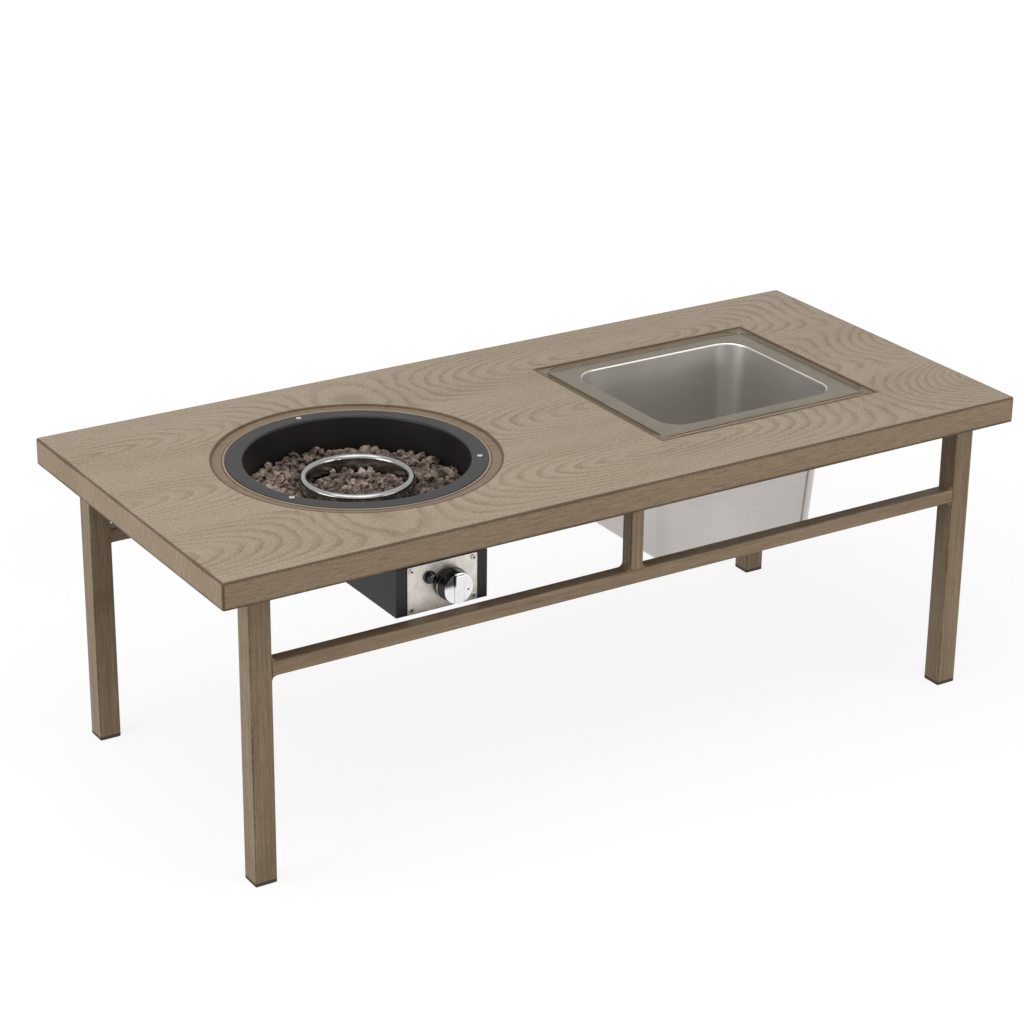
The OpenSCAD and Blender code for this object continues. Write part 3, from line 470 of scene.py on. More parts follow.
# %% Metals
BRUSHED_UPRIGHT = (60, 60, 0.5)
recipe("brushed_steel", (180, 175, 171), (196, 191, 187), 0.24, metal=1, grain=BRUSHED_UPRIGHT,
       depth=0.006, cloud=150)
recipe("pan_inside_painted_light", (196, 191, 187), (212, 208, 204), 0.36, metal=0.9, grain=BRUSHED_UPRIGHT,
       depth=0.004, cloud=150)
recipe("panel_steel", (212, 204, 195), (232, 226, 219), 0.42, 0.10, metal=0.8, grain=(9, 40, 14),
       depth=0.003, cloud=18)
recipe("rim_reflection_steel", (107, 98, 84), (125, 115, 98), 0.32, 0.1, metal=1, grain=(30, 30, 30),
       depth=0.003, cloud=70)
recipe("polished_steel", (140, 141, 138), (156, 156, 153), 0.2, 0.1, metal=1, grain=(14, 14, 14),
       depth=0.01)
recipe("screw_steel", (202, 203, 202), (222, 222, 220), 0.22, metal=1, grain=(1.2, 1.2, 1.2))
recipe("panel_screw", (190, 188, 184), (214, 212, 208), 0.3, metal=1, grain=(1.2, 1.2, 1.2),
       shade_marks=recess_marks)
recipe("copper", (196, 122, 84), (214, 148, 108), 0.3, metal=1)
recipe("brass", (190, 158, 92), (212, 184, 122), 0.28, metal=1)
recipe("cast_alloy", (150, 151, 152), (176, 177, 178), 0.5, 0.16, metal=1, grain=(1.1, 1.1, 1.1),
       depth=0.15)
recipe("pipe_alloy", (178, 180, 182), (198, 200, 202), 0.34, metal=1, grain=(1, 60, 1))
recipe("cap_chrome", (226, 226, 228), (236, 236, 238), 0.20, 0.1, metal=1, grain=(18, 18, 18),
       depth=0.003, shade_marks=knob_shade)
print("finishes with the metals:", len(FINISH))

# %% [markdown]
# ## Lava stone
# Lava cooled with gas in it, so it is full of pits and each stone has its own shade. Voronoi cells give the
# pits in two sizes, painted dark as the shade in them, and a coarse noise colours whole stones. Towards the
# left end of the bowl the stones are painted paler, as light.

# %% Lava


def lava():
    skin = Finish("lava", roughness=0.85)
    where = skin.at(skin.x, skin.y, skin.z)
    # The pits are painted dark, as the shade in them.
    shaded_pits = skin.cells(where, 0.42).rise(0.10, 0.42) * 0.6 + skin.cells(where, 0.95).rise(0.1, 0.45) * 0.4
    crust = skin.noise(where, 0.22, detail=4.0, roughness=0.7)
    shade = skin.noise(where, 0.055, detail=1.0)
    # Painted light: the stones towards the left end are paler.
    painted_light_left = 1 - skin.x.rise(BOWL[0] - 110, BOWL[0] - 10)
    tone = (shade - 0.5) * 2.1 + (crust - 0.5) * 1.0 + 0.42 + painted_light_left * 0.3
    stone = skin.ramp(tone, (0.0, paint(72, 60, 54)), (0.45, paint(124, 108, 97)),
                      (0.8, paint(166, 148, 134)), (1.0, paint(206, 190, 173)))
    skin.bump(shaded_pits * 0.7 + crust * 0.6, 1.1)
    return skin.wear(skin.blend(shaded_pits, paint(30, 24, 21), stone), 0.95 - crust * 0.25)


FINISH["lava"] = lava()
print("lava nodes:", len(FINISH["lava"].node_tree.nodes))

# %% [markdown]
# ## Helpers for modelling by hand
# The pieces are shaped in edit mode as one would at the screen: add a primitive, select by place, extrude
# and scale. begin deselects everything else first, because the frame's nodes come in selected. pick selects
# edges or corners by a test in mm. carry extrudes the selected loop through stations, as a potter draws a
# profile. done makes the piece smooth where it bends, keeps flat faces flat and hands it to a body.
# second_finish gives some of its faces another finish.

# %% begin and pick


def deselect():
    if bpy.context.mode != "OBJECT":
        bpy.ops.object.mode_set(mode="OBJECT")
    bpy.ops.object.select_all(action="DESELECT")


def select_only(piece):
    deselect()
    piece.select_set(True)
    bpy.context.view_layer.objects.active = piece


def in_metres(place):
    return [c * MM for c in place]


def copy_of(piece):
    copy = bpy.data.objects.new(piece.name, piece.data.copy())
    bpy.context.scene.collection.objects.link(copy)
    return copy


def joined(pieces):
    select_only(pieces[0])
    for piece in pieces:
        piece.select_set(True)
    bpy.ops.object.join()
    return pieces[0]


def begin(kind, at=(0, 0, 0), **size):
    """Adds a primitive at a place in mm and opens it in edit mode; its own sizes are in Blender's metres."""
    deselect()
    getattr(bpy.ops.mesh, "primitive_" + kind + "_add")(location=in_metres(at), **size)
    bpy.ops.object.transform_apply()
    bpy.ops.object.mode_set(mode="EDIT")
    return bpy.context.object


def begin_empty():
    """Opens a mesh with nothing in it yet, for outlines that are added one by one."""
    piece = begin("plane", size=2 * MM)
    bpy.ops.mesh.delete(type="VERT")
    return piece


def pick(kind, test, border=False):
    """Selects corners by their place or edges by both ends, in mm, for border only edges with a free side."""
    bpy.ops.mesh.select_mode(type=kind)
    bpy.ops.mesh.select_all(action="DESELECT")
    bpy.ops.object.mode_set(mode="OBJECT")
    mesh = bpy.context.object.data
    if kind == "EDGE":
        sides = Counter(key for face in mesh.polygons for key in face.edge_keys)
        for edge in mesh.edges:
            start, end = (mesh.vertices[i].co / MM for i in edge.vertices)
            way = (end - start).normalized()
            inner = border and sides[edge.key] > 1
            edge.select = bool(test(start, way) and test(end, way) and not inner)
    else:
        for vertex in mesh.vertices:
            vertex.select = bool(test(vertex.co / MM, vertex.normal))
    bpy.ops.object.mode_set(mode="EDIT")


# %% carry and the outlines


def stations(section, half=(0, 0), base=0):
    """Adds the points (out, height) of a section to a half length, a half width and a base height."""
    return [(*grown(half, out), base + height) for out, height in section]


def carry(through, middle=(0, 0)):
    """Extrudes the selected loop through stations in mm, from the first one on."""
    at = (*in_metres(middle[:2]), 0)
    for (length, width, height), (next_length, next_width, next_height) in zip(through, through[1:]):
        up = (0, 0, (next_height - height) * MM)
        bpy.ops.mesh.extrude_region_move(TRANSFORM_OT_translate={"value": up})
        bpy.ops.transform.resize(value=(next_length / length, next_width / width, 1), center_override=at)


def rounded(middle, half, corner, height, steps=12):
    """Adds a rounded rectangle of edges to the open piece: a plane with bevelled corners and no face."""
    at = in_metres(middle)
    bpy.ops.mesh.primitive_plane_add(size=2 * MM, location=(*at, height * MM))
    bpy.ops.transform.resize(value=(*half, 1), center_override=(*at, 0))
    bpy.ops.mesh.bevel(offset=corner * MM, affect="VERTICES", segments=steps)
    bpy.ops.mesh.delete(type="ONLY_FACE")


LEVEL, BESIDE = 0.02, 0.05  # how far off a loop a corner may lie, in mm


def pick_loop(middle, half, corner, height):
    """Selects the free edges on a rounded rectangle, or on a circle, where half and corner agree."""
    def on_loop(place, _):
        across = max(abs(place.x - middle[0]) - (half[0] - corner), 0)
        along = max(abs(place.y - middle[1]) - (half[1] - corner), 0)
        return abs(place.z - height) < LEVEL and abs(math.hypot(across, along) - corner) < BESIDE
    pick("EDGE", on_loop, border=True)


def arc(middle, height, radius, start, end, steps):
    """Points (radius or offset, height) on an arc of a section, angles in degrees."""
    for i in range(steps + 1):
        angle = math.radians(start + (end - start) * i / steps)
        yield middle + radius * math.cos(angle), height + radius * math.sin(angle)


def fill_flat():
    bpy.ops.mesh.fill(use_beauty=True)


def turn_outwards():
    bpy.ops.mesh.select_all(action="SELECT")
    bpy.ops.mesh.normals_make_consistent(inside=False)


def join_loops():
    """Makes one loop of loops that lie on each other."""
    bpy.ops.mesh.select_all(action="SELECT")
    bpy.ops.mesh.remove_doubles(threshold=0.004 * MM)


def close_up():
    """Joins the loops that meet, fills what is left open and turns all faces outwards."""
    join_loops()
    bpy.ops.mesh.fill_holes(sides=0)
    turn_outwards()


# %% done and second_finish


def done(piece, name, slot, stands_for=(), material=None, body="table", angle=35):
    select_only(piece)
    bpy.ops.object.transform_apply()
    for modifier in list(piece.modifiers):
        bpy.ops.object.modifier_apply(modifier=modifier.name)
    bpy.ops.object.shade_smooth_by_angle(angle=math.radians(angle))
    piece.modifiers.new("Flat faces stay flat", "WEIGHTED_NORMAL").keep_sharp = True
    bpy.ops.object.modifier_apply(modifier=piece.modifiers[0].name)
    piece.name = piece.data.name = name
    piece.data.materials.clear()
    piece.data.materials.append(material or FINISH[slot])
    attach(piece, body)
    if stands_for:
        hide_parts(*stands_for)
    places = [vertex.co / MM for vertex in piece.data.vertices]
    low, high = ([round(end(place[axis] for place in places), 1) for axis in range(3)] for end in (min, max))
    print(name, len(piece.data.polygons), "faces,", low, "to", high)


def second_finish(piece, name, test):
    """Gives the faces that pass the test, in mm, a finish of their own."""
    piece.data.materials.append(FINISH[name])
    for face in piece.data.polygons:
        if test(face.center / MM, face.normal):
            face.material_index = len(piece.data.materials) - 1


# %% [markdown]
# ## The top, one folded sheet
# The real top is cut flat, pressed and folded: aprons all round with a hem inside, a round seat for the
# bowl, a square one for the pan, each with a raised bead. Here Fill spans the flat sheet between three
# outlines, then each outline is carried along its own section: over the bend, down the apron and round the
# hem, or down the step, over the bead and round the edge of the hole. A cube with a Boolean would be
# quicker, but its bends would have no radius. Fill also spans the square seat down to its hole, because the
# corners of the two differ.

# %% Outlines and the flat sheet
EDGE_BEND, STEP_OUT = 3.2, 2.2
RIM_CORNER, SEAT_CORNER, HOLE_CORNER = 4, 4.5, 43
rim = (LENGTH / 2 - EDGE_BEND, WIDTH / 2 - EDGE_BEND)
bowl_outline = BOWL_SEAT_R + STEP_OUT
pan_outline = grown(PAN_SEAT, STEP_OUT)
top = begin("circle", (*BOWL, TOP), radius=bowl_outline * MM, vertices=144, fill_type="NOTHING")
rounded(PAN, pan_outline, SEAT_CORNER, TOP)
rounded((0, 0), rim, RIM_CORNER, TOP)
bpy.ops.mesh.select_all(action="SELECT")
fill_flat()
print("outlines in mm: rim", rim, "bowl", bowl_outline, "pan", pan_outline)

# %% Apron and hem
edge = LENGTH / 2
fold = [(rim[0], TOP), *arc(edge - 2.5, TOP - 2.5, 2.5, 90, 0, 5), (edge, TOP - EDGE_BEND)]
fold += [(edge, APRON_FOOT + 1.6), *arc(edge - 1, APRON_FOOT + 1, 1, 0, -90, 3), (edge - HEM, APRON_FOOT)]
fold += [(edge - HEM, APRON_FOOT + SHEET), (edge - SHEET, APRON_FOOT + SHEET), (edge - SHEET, UNDER)]
pick_loop((0, 0), rim, RIM_CORNER, TOP)
carry(stations(fold, (0, WIDTH / 2 - edge)))
print("stations of the fold:", len(fold))

# %% Seats and beads
step = [(STEP_OUT, TOP), *arc(1.6, TOP - 1.2, 1.2, 90, 180, 4)]
step += list(arc(-1.0, SEAT + 1.2, 1.2, 0, -90, 4))[1:]
bead = [(4, 0), (1.9, 0), (1.45, 0.2), *arc(0, 0.1, 1.2, 30, 150, 6), (-1.45, 0.2), (-1.9, 0), (-4, 0)]


def press_seat(middle, seat, bead_at):
    """Carries the outline down the step and over the bead."""
    carry(stations(step, seat) + stations(bead, bead_at, SEAT), middle)


pick_loop(BOWL, (bowl_outline, bowl_outline), bowl_outline, TOP)
press_seat(BOWL, (BOWL_SEAT_R, BOWL_SEAT_R), (FLANGE_R + BEAD_OUT, FLANGE_R + BEAD_OUT))
bead_end = BEAD_OUT + bead[-1][0]
hole_edge = [(FLANGE_R + bead_end, SEAT), (BOWL_HOLE_R + 0.5, SEAT), (BOWL_HOLE_R, SEAT - 0.5)]
hole_edge += [(BOWL_HOLE_R, SEAT - SHEET), (BOWL_SEAT_R + SHEET, SEAT - SHEET), (BOWL_SEAT_R + SHEET, UNDER)]
carry(stations(hole_edge), BOWL)
pick_loop(PAN, pan_outline, SEAT_CORNER, TOP)
press_seat(PAN, PAN_SEAT, grown(PAN_RIM, BEAD_OUT))
print("stations of a seat:", len(step) + len(bead))

# %% The square hole and the underside
rounded(PAN, PAN_HOLE, HOLE_CORNER, SEAT)
inside = PAN_RIM[0] + bead_end + BESIDE
pick("EDGE", lambda place, _: abs(place.z - SEAT) < LEVEL and abs(place.x - PAN[0]) < inside, border=True)
fill_flat()
pick_loop(PAN, PAN_HOLE, HOLE_CORNER, SEAT)
seat_back = grown(PAN_SEAT, SHEET)
carry([(*PAN_HOLE, SEAT), (*PAN_HOLE, SEAT - SHEET), (*seat_back, SEAT - SHEET), (*seat_back, UNDER)], PAN)
bpy.ops.mesh.select_all(action="DESELECT")
bpy.ops.mesh.select_non_manifold()
fill_flat()
turn_outwards()
done(top, "top_sheet", "wood_top", ["tabletop", "bowl_seat"], WOOD_TOP)

# %% [markdown]
# ## Turned pieces
# Bowl, collar, knob and igniter are round. A circle is carried through their section, like clay on a wheel.
# Spinning a drawn section does the same, but its axis needs cleaning. Pieces that face the front are turned
# upright and then laid on their back.

# %% A wheel for round pieces


def turned(points, at=(0, 0, 0), segments=96):
    """Carries a circle through (radius, height) points in mm, from the first one on, and closes it up."""
    radius, height = points[0]
    piece = begin("circle", (at[0], at[1], at[2] + height), radius=radius * MM, vertices=segments,
                  fill_type="NOTHING")
    carry(stations(points, base=at[2]), at)
    close_up()
    return piece


def lay_forward(piece, at):
    """Tips a piece that was turned upright at the origin, so that its top faces the table's front."""
    select_only(piece)
    piece.rotation_euler = (math.radians(90), 0, 0)
    piece.location = in_metres(at)
    bpy.ops.object.transform_apply()


# %% The fire bowl
LIP_R, BEND, METAL = 3.2, 8, 1.2
lip, bend, half_way = BOWL_R + LIP_R, BOWL_R - BEND, 430
bowl_section = [(FLANGE_R, SEAT), (FLANGE_R, SEAT + 0.8), (FLANGE_R - 0.4, FLANGE), (lip, FLANGE)]
bowl_section += list(arc(lip, FLANGE - LIP_R, LIP_R, 90, 180, 6))[1:]
bowl_section += [(BOWL_R, half_way), (BOWL_R, BOWL_FLOOR + 8.6)]
bowl_section += arc(bend, BOWL_FLOOR + BEND, BEND, 0, -90, 8)
bowl_section += [(radius, BOWL_FLOOR) for radius in (120, 60, 11.4)]
bowl_section += [(radius, BOWL_FLOOR - METAL) for radius in (11.4, 60, 120)]
bowl_section += [*arc(bend, BOWL_FLOOR + BEND, BEND + METAL, -90, 0, 8), (BOWL_R + METAL, half_way)]
bowl_section += [(BOWL_R + METAL, FLANGE - 3.4), *arc(lip, FLANGE - LIP_R, LIP_R - METAL, 180, 90, 4)]
bowl_section += [(FLANGE_R - 0.4, SEAT), (FLANGE_R, SEAT)]
bowl = turned(bowl_section, (*BOWL, 0), 144)
done(bowl, "bowl_shell", "bowl_black", ["fire_bowl"])

# %% [markdown]
# ## The burner collar
# A polished ring keeps the fine stones over the burner. Its top edge is rolled outwards, a little taller
# than wide, and ends in a skirt, so it catches the light on top and mirrors the dark bowl below. The
# section goes up the inner wall, over the roll, down the skirt and back inside: one closed skin.

# %% Collar
ROLL_AT, ROLL_R, ROLL_INSIDE, TALLER = (76.6, 36), 5.7, 4.5, 1.15


def roll_arc(radius, start, end, steps):
    """An arc round the middle of the roll, stretched upwards."""
    for out, height in arc(*ROLL_AT, radius, start, end, steps):
        yield out, ROLL_AT[1] + (height - ROLL_AT[1]) * TALLER


collar_section = [(71, 0), (71, 35), *roll_arc(ROLL_R, 172, 0, 16)]
collar_section += [(82.2, 29), (81.5, 25), (80.6, 23.4), (79.9, 23.8), (80.7, 25.5), (81.1, 29)]
collar_section += [*roll_arc(ROLL_INSIDE, 0, 172, 14), (72, 34.5), (72, 0), (71, 0)]
collar = turned(collar_section, (*BOWL, BOWL_FLOOR), 128)
done(collar, "collar_ring", "polished_steel", ["burner_collar"])

# %% [markdown]
# ## Lava stones
# Stones are poured in and rest on each other, so here too they are dropped one by one: each is tried at
# several places, falls until it touches the floor or its neighbours, and keeps the lowest place. Under the
# roll of the collar the heap stays lower. A rigid body simulation would take minutes instead of seconds.
# Six rough stones are copied, each copy turned and sized by the same seeded chance, so that every run gives
# the same heap. A copy that would poke through a wall is slid back.

# %% Six rough stones
chance = random.Random(11)
rough = []
for seed in range(6):
    stone = begin("ico_sphere", subdivisions=2, radius=1.0)
    bpy.ops.transform.resize(value=(1.2 + 0.2 * (seed % 3), 0.82, 0.58 + 0.06 * seed))
    bpy.ops.transform.vertex_random(offset=0.30, uniform=0.5, normal=0.5, seed=seed + 3)
    deselect()
    rough.append(stone)
print("rough stones:", [len(stone.data.polygons) for stone in rough], "faces")

# %% Find a place for each stone
LOW_SIDE, NEST, PEAK = 0.7, 0.8, 0.8  # how far a stone reaches down, to a neighbour and up, in radii
MISSES, ROLL_ROOM = 150, 7


def drop_one(inner, outer, floor, sizes, resting):
    """Tries one place between two radii; gives (x, y, height, radius), or nothing too near a wall."""
    angle = chance.uniform(0, 2 * math.pi)
    away = math.sqrt(chance.uniform(inner ** 2, outer ** 2))
    x, y = away * math.cos(angle), away * math.sin(angle)
    radius = sizes(x)
    if not inner + radius * LOW_SIDE <= away <= outer - radius * LOW_SIDE:
        return None
    height = floor + radius * LOW_SIDE
    for other_x, other_y, other_height, other_radius in resting:
        reach = NEST * (radius + other_radius)
        gap = reach ** 2 - (x - other_x) ** 2 - (y - other_y) ** 2
        if gap > 0:
            height = max(height, other_height + math.sqrt(gap))
    return x, y, height, radius


def peak(stone):
    return stone[2] + PEAK * stone[3]


def heap(inner, outer, floor, top, sizes, tries=12, most=1000, under=0):
    """Rests stones until they reach the height top, or less out to the radius under."""
    resting = []
    misses = 0
    while misses < MISSES and len(resting) < most:
        places = [drop_one(inner, outer, floor, sizes, resting) for _ in range(tries)]
        best = min((place for place in places if place), key=peak, default=None)
        if best is None or peak(best) > top - ROLL_ROOM * (math.hypot(*best[:2]) < under):
            misses += 1
        else:
            resting.append(best)
    return resting


# %% Pour them


def pour(inner, outer, floor, top, sizes, **limits):
    """Copies a rough stone to each place of a heap, slides it clear of the walls and joins them all."""
    resting = heap(inner, outer, floor, top, sizes, **limits)
    copies = []
    for x, y, height, radius in resting:
        copy = copy_of(chance.choice(rough))
        lean = Euler([chance.uniform(-0.5, 0.5), chance.uniform(-0.5, 0.5), chance.uniform(0, 6.28)])
        copy.data.transform(Matrix.Translation(Vector((BOWL[0] + x, y, height)) * MM) @
                            lean.to_matrix().to_4x4() @ Matrix.Scale(radius * MM, 4))
        places = [vertex.co / MM for vertex in copy.data.vertices]
        reach = [math.hypot(place.x - BOWL[0], place.y) for place in places]
        slide = (min(0, outer - max(reach)) + max(0, inner - min(reach))) / max(math.hypot(x, y), 1)
        lift = max(0, floor + 0.2 - min(place.z for place in places))
        copy.data.transform(Matrix.Translation(Vector((x * slide, y * slide, lift)) * MM))
        copies.append(copy)
    print(len(resting), "stones, highest", round(max(map(peak, resting)), 1))
    return joined(copies)


outer_fill = pour(73.5, 160, BOWL_FLOOR, 430.5, lambda x: chance.uniform(4.8, 8.4) + (2.0 if x > 40 else 0),
                  under=93)
done(outer_fill, "lava_fill", "lava", ["lava_bed"], angle=28)
inner_fill = pour(0, 70, node_span("lava_burner", 2)[0], 435.5, lambda x: chance.uniform(4.0, 7.4), most=260)
done(inner_fill, "lava_core", "lava", ["lava_burner"], angle=28)
for stone in rough:
    bpy.data.objects.remove(stone)

# %% [markdown]
# ## The drinks pan
# A gastronorm pan is deep-drawn from a flat blank of stainless steel: tall sides with a slight draft,
# generous corners, a rolled edge. Mouth and rim are rounded rectangles with equally many corners, so they
# can be bridged. The mouth is then carried down the shoulder, the wall and the bottom bend, and Solidify
# gives the sheet its thickness to the outside. The rim's steel is painted darker and browner, a painted
# reflection, and the inside is brushed more coarsely and painted paler, as painted light.

# %% The pan's sheet
ROLL_IN, SHOULDER, BOTTOM_BEND, DRAFT, DEEP = 4.2, 3, 12, 14, 234
PAN_RIM_CORNER, PAN_MOUTH_CORNER = 6, 41
flat_rim, flat_mouth = grown(PAN_RIM, -ROLL_IN), grown(PAN_MOUTH, SHOULDER)
pan = begin_empty()
rounded(PAN, flat_rim, PAN_RIM_CORNER, FLANGE)
rounded(PAN, flat_mouth, PAN_MOUTH_CORNER, FLANGE)
bpy.ops.mesh.select_all(action="SELECT")
bpy.ops.mesh.bridge_edge_loops()
pick_loop(PAN, flat_rim, PAN_RIM_CORNER, FLANGE)
roll = [(-ROLL_IN, 0), (-3.8, 0), *arc(-2.0, 0, 1.6, 150, 0, 7), (-0.4, -0.5), (-0.6, -1.0)]
carry(stations(roll, PAN_RIM, FLANGE), PAN)

pick_loop(PAN, flat_mouth, PAN_MOUTH_CORNER, FLANGE)
wall = [(SHOULDER, 0), *list(arc(SHOULDER, -SHOULDER, SHOULDER, 90, 180, 5))[1:]]
wall += [(-DRAFT * share, -SHOULDER - (DEEP - SHOULDER - BOTTOM_BEND) * share)
         for share in (0.004, 0.25, 0.5, 0.75, 0.996)]
wall += arc(-DRAFT - BOTTOM_BEND, BOTTOM_BEND - DEEP, BOTTOM_BEND, 0, -90, 7)
wall += [(-70, -DEEP - 0.2), (-120, -DEEP - 0.4)]
carry(stations(wall, PAN_MOUTH, FLANGE), PAN)
bpy.ops.mesh.edge_face_add()
join_loops()
turn_outwards()
print("stations of the rim and the wall:", len(roll), len(wall))

# %% The pan's thickness and finishes
sheet = pan.modifiers.new("Sheet", "SOLIDIFY")
sheet.thickness, sheet.offset, sheet.use_even_offset = 0.9 * MM, -1, True
done(pan, "pan_tub", "brushed_steel", ["drinks_pan"], body="drinks_pan")


def on_rim(place, _):
    return place.z > FLANGE - 0.6


def faces_inside(place, facing):
    to_middle = (place.x - PAN[0]) * facing.x + place.y * facing.y < 0
    return not on_rim(place, facing) and (facing.z > 0.5 or to_middle)


# Painted reflection: the rim's steel is darker and browner.
second_finish(pan, "rim_reflection_steel", on_rim)
# Painted light: the inside walls are a paler steel.
second_finish(pan, "pan_inside_painted_light", faces_inside)

# %% [markdown]
# ## Knob and igniter
# The gas knob is a black moulded cup with a bright face. Its grip is a bar across the face, tallest at the
# upper end, and a small nose on its side shows how far it is turned. The left of its skirt gets the bright
# chrome finish as a painted highlight. The igniter is a glossy ring with a domed push.

# %% Knob body and nose


def add_block(middle, size, bevel, segments):
    """Adds a block with rounded edges to the open piece, in mm."""
    at = in_metres(middle)
    bpy.ops.mesh.primitive_cube_add(size=1, location=at)
    bpy.ops.transform.resize(value=in_metres(size), center_override=at)
    bpy.ops.mesh.bevel(offset=bevel * MM, segments=segments, affect="EDGES")


def on_highlight_edge(place, _):
    skirt = math.hypot(place.x - KNOB[0], place.z - KNOB[2]) > 23
    return skirt and place.y > KNOB[1] - 3.5 and place.x < KNOB[0] - 16


knob_section = [(5.5, 0), (21, 0), (23.4, 0.2), (24, 0.8), (24, 3.2), (23.6, 3.9), (22.9, 4.2), (22.9, 17.4),
                (22.4, 18.6), (21.4, 19), (5.5, 19), (4.4, 18.9), (4.4, 9), (4.4, 0.1), (5.5, 0)]
knob = turned(knob_section)
add_block((-0.5, 22.9, 8.0), (3.2, 4.2, 5.0), 0.7, 3)
lay_forward(knob, KNOB)
done(knob, "knob_body", "knob_black", ["knob"], body="valve_knob")
# A painted highlight: only the left edge of the skirt gets the chrome finish.
second_finish(knob, "cap_chrome", on_highlight_edge)

# %% Knob face with its grip
FACE_TOP = 21
face = turned([(0.4, 19), (21.9, 19), (22.4, 19.3), (22.5, 19.8), (22.2, 20.6), (21.4, FACE_TOP),
               (0.4, FACE_TOP)])
add_block((0, 0, 22.9), (15, 41, 4.2), 1.5, 4)
pick("VERT", lambda place, _: place.z > FACE_TOP + 1 and abs(place.x) < 9 and place.y < -15)
bpy.ops.transform.resize(value=(1.0, 1.0, 0.2), center_override=(0, 0, 21.2 * MM))
lay_forward(face, KNOB)
done(face, "knob_face", "cap_chrome", ["knob_cap"], body="valve_knob")

# %% Igniter ring and push
ring_section = [(8.05, 0), (9.5, 0), (9.5, 2.6), (9.2, 3.5), (8.6, 4), (8.3, 4), (8.05, 3.7), (8.05, 0)]
ring = turned(ring_section, segments=64)
lay_forward(ring, IGNITER)
done(ring, "igniter_bezel", "igniter_black", ["igniter_collar"])
length = 2 * node_half("igniter_button", 1)
dome = [(6.8, -2.6), (6.5, -1.8), (5.7, -1.1), (4.4, -0.6), (3.0, -0.25), (1.6, -0.06), (0.6, 0)]
push = turned([(6.3, 0), (6.8, 0.5), *((radius, length + back) for radius, back in dome)], segments=64)
lay_forward(push, node_back("igniter_button"))
done(push, "igniter_push", "igniter_black", ["igniter_button"], body="igniter_button")

# %% [markdown]
# ## Foot caps
# Each leg ends in a dark moulded cap whose plug sits in the tube. Its lower edge is rounded, so that it
# doesn't cut into decking. One cap is modelled and copied to the four legs.

# %% Foot caps
CAP_FOOT, CAP_CORNER = 15.2, 2.2
cap_section = [(CAP_FOOT, 0), (16.1, 0.5), (LEG_HALF, 1.6), (LEG_HALF, 5.4), (16.3, 6), (14.8, 6), (14.8, 25),
               (14, 26)]
cap = begin_empty()
rounded((0, 0), (CAP_FOOT, CAP_FOOT), CAP_CORNER, 0, steps=4)
bpy.ops.mesh.select_all(action="SELECT")
carry(stations(cap_section))
close_up()
CORNERS = {"front_left": (-1, -1), "front_right": (1, -1), "rear_left": (-1, 1), "rear_right": (1, 1)}
for where, (x, y) in CORNERS.items():
    deselect()
    foot = copy_of(cap)
    foot.location = in_metres((x * LEG[0], y * LEG[1], 0))
    done(foot, "cap_" + where, "foot", ["foot_" + where])
bpy.data.objects.remove(cap)

# %% [markdown]
# ## Weld fillets
# Where a rail meets a leg or a post, the weld is ground to a hollow round and coated over. Each is a small
# block whose free edge gets a hollow bevel, profile below 0.25, that meets both tubes.

# %% Fillets
FILLET, FILLET_DEEP = 6.0, 19


def fillet(x, y, z, toward_x, toward_z):
    """A hollow corner piece: toward_x and toward_z point from the corner into the open."""
    middle = (x + toward_x * FILLET / 2, y, z + toward_z * FILLET / 2)
    block = begin("cube", middle, size=1 * MM)
    bpy.ops.transform.resize(value=(FILLET, FILLET_DEEP, FILLET), center_override=in_metres(middle))
    pick("EDGE", lambda place, way: abs(way.y) > 0.9 and (place.x - x) * toward_x > 1 and
         (place.z - z) * toward_z > 1)
    bpy.ops.mesh.bevel(offset=(FILLET - 0.3) * MM, segments=6, profile=0.09, affect="EDGES")
    deselect()
    return block


blocks = []
for y in (-RAIL_Y, RAIL_Y):
    for x, way in ((-RAIL_END, 1), (RAIL_END, -1), (-TUBE_HALF, -1), (TUBE_HALF, 1)):
        blocks.append(fillet(x, y, RAIL_TOP, way, 1))
        if abs(x) == RAIL_END:
            blocks.append(fillet(x, y, RAIL_FOOT, way, -1))
done(joined(blocks), "weld_fillets", "wood_frame", material=WOOD_WELD, angle=40)

# %% [markdown]
# ## Finishes for the pieces that stay as the CAD made them
# Tubes, pipes, nuts and the parts inside the box have the right shape already. They only need their finish,
# by name or by their material slot.

# %% Dress the remaining nodes
KEPT = {
    WOOD_LEG: ["leg_" + corner for corner in CORNERS],
    WOOD_POST: ["front_post", "rear_post"],
    WOOD_RAIL: ["front_rail", "rear_rail"],
    WOOD_BAR: ["front_top_bar", "rear_top_bar"],
    WOOD_CROSS: ["left_cross_bar", "middle_cross_bar", "right_cross_bar", "corner_plates"],
    FINISH["panel_steel"]: ["control_panel"],
    FINISH["screw_steel"]: ["flange_screws", "flange_nuts", "corner_screws", "valve_stem"],
    FINISH["panel_screw"]: ["panel_screws"],
}
finish_of = {node: material for material, nodes in KEPT.items() for node in nodes}
slot_of = {part["node"]: part["material_slot"] for part in frame["record"]["subparts"]}
for name, node in frame["nodes"].items():
    node.data.materials.clear()
    node.data.materials.append(finish_of.get(name) or FINISH.get(slot_of[name], WOOD_TOP))
print("nodes dressed by name:", len(finish_of), "and by their slot:", len(frame["nodes"]) - len(finish_of))

# %% [markdown]
# ## Studio
# A table this light is photographed on a white sweep. The world looks white to the camera and in
# reflections, and a plain fill lights the rest, so a colour renders about as it is written. The floor
# bounces light like grey paper, but the eye sees a paler one that keeps the shadow and turns white far
# away, so no horizon shows. One lamp hangs overhead, one makes the left apron lighter than the front one, a
# weaker one stands at the right, and a small hard one in front puts dots of light on the igniter and the
# collar.

# %% World


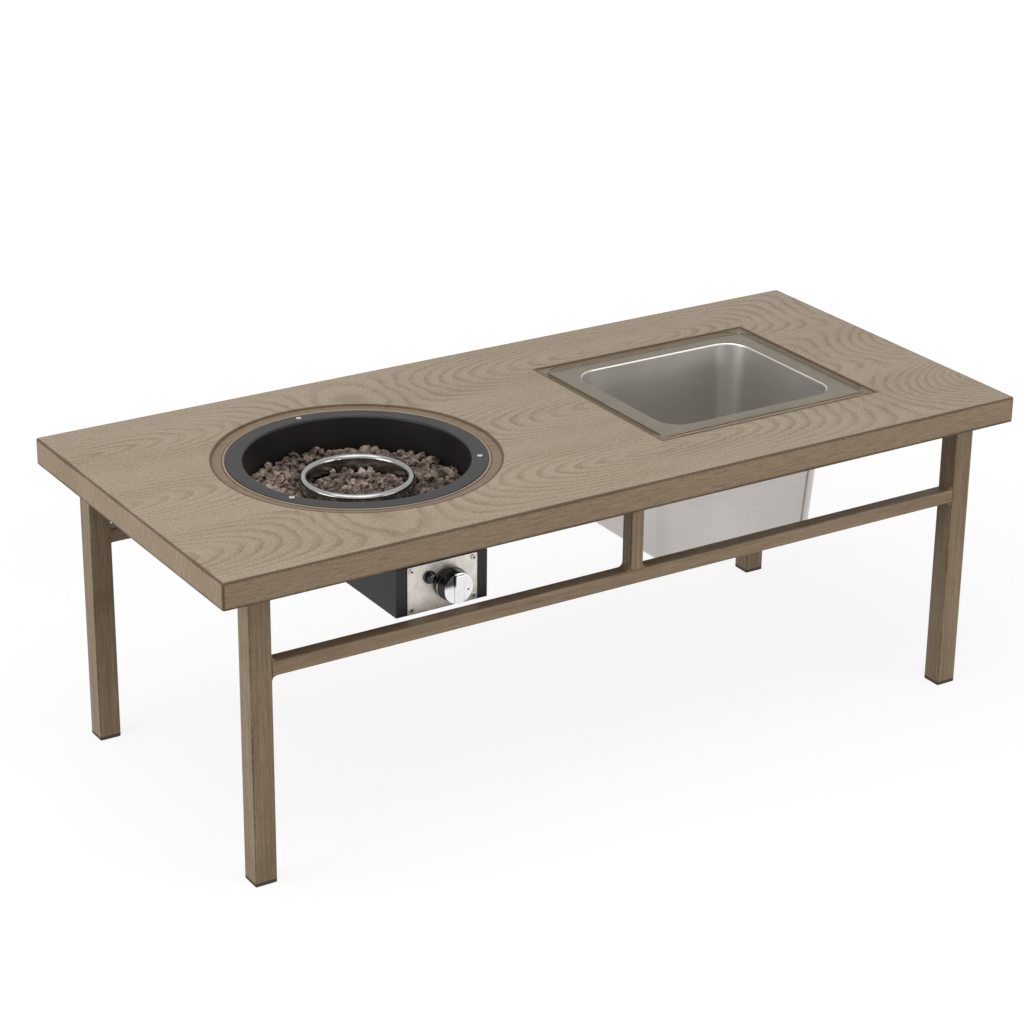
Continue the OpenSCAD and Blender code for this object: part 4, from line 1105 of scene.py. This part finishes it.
def white_for_the_eye(tree, plain, white):
    """Shows the white shader to the eye, directly and in reflections; the plain one lights the rest."""
    path = tree.nodes.new("ShaderNodeLightPath")
    seen = path.outputs["Is Camera Ray"]
    for name in ("Is Glossy Ray", "Is Transmission Ray"):
        most = tree.nodes.new("ShaderNodeMath")
        most.operation = "MAXIMUM"
        tree.links.new(seen, most.inputs[0])
        tree.links.new(path.outputs[name], most.inputs[1])
        seen = most.outputs[0]
    mix = tree.nodes.new("ShaderNodeMixShader")
    for socket, source in zip(mix.inputs, (seen, plain, white)):
        tree.links.new(source, socket)
    return mix.outputs[0]


world = bpy.data.worlds.new("studio")
bpy.context.scene.world = world
world.use_nodes = True
tree = world.node_tree
fill = tree.nodes["Background"]
fill.inputs["Color"].default_value = (1, 0.99, 0.975, 1)
fill.inputs["Strength"].default_value = 0.29
backdrop = tree.nodes.new("ShaderNodeBackground")
backdrop.inputs["Color"].default_value = (1, 1, 1, 1)
lit = white_for_the_eye(tree, fill.outputs[0], backdrop.outputs[0])
tree.links.new(lit, tree.nodes["World Output"].inputs["Surface"])
print("world nodes:", len(tree.nodes))

# %% Floor
bpy.ops.mesh.primitive_plane_add(size=40, location=(0, 0, -0.0003))
floor = bpy.context.object
floor.name = "floor"
paper = Finish("paper", roughness=0.9)
paper.wear((0.30, 0.295, 0.29, 1), 0.9)
bright = paper.node("ShaderNodeBsdfDiffuse", {}, {"Color": (0.86, 0.86, 0.86, 1)})
glow = paper.node("ShaderNodeEmission", {}, {"Strength": 1.08})
far = ((paper.x ** 2 + paper.y ** 2) ** 0.5).rise(900, 2200)
pale = paper.node("ShaderNodeMixShader", {}, {0: 0.8 + far * 0.2, 1: bright, 2: glow})
lit = white_for_the_eye(paper.tree, paper.shader.outputs[0], pale.socket)
paper.tree.links.new(lit, paper.tree.nodes["Material Output"].inputs["Surface"])
floor.data.materials.append(paper.material)
print("floor nodes:", len(paper.tree.nodes))

# %% Lamps


def lamp(name, at, aim, size, power):
    bpy.ops.object.light_add(type="AREA", location=at)
    light = bpy.context.object
    light.name = name
    light.data.shape = "RECTANGLE"
    light.data.size, light.data.size_y = size
    light.data.energy = power
    light.rotation_euler = (Vector(aim) - Vector(at)).to_track_quat("-Z", "Y").to_euler()


lamp("overhead", (-0.6, -0.5, 3.2), (0, 0, 0.4), (3.0, 2.4), 52)
lamp("left_end", (-3.4, 0.2, 1.3), (0, 0, 0.3), (2.2, 1.8), 42)
lamp("front_right", (2.2, -3.4, 1.5), (0.3, 0, 0.3), (1.8, 1.6), 32)
lamp("sparkle", (0.3, -3.4, 0.9), (-0.3, -0.2, 0.4), (0.14, 0.14), 7)

# %% The last line
deselect()
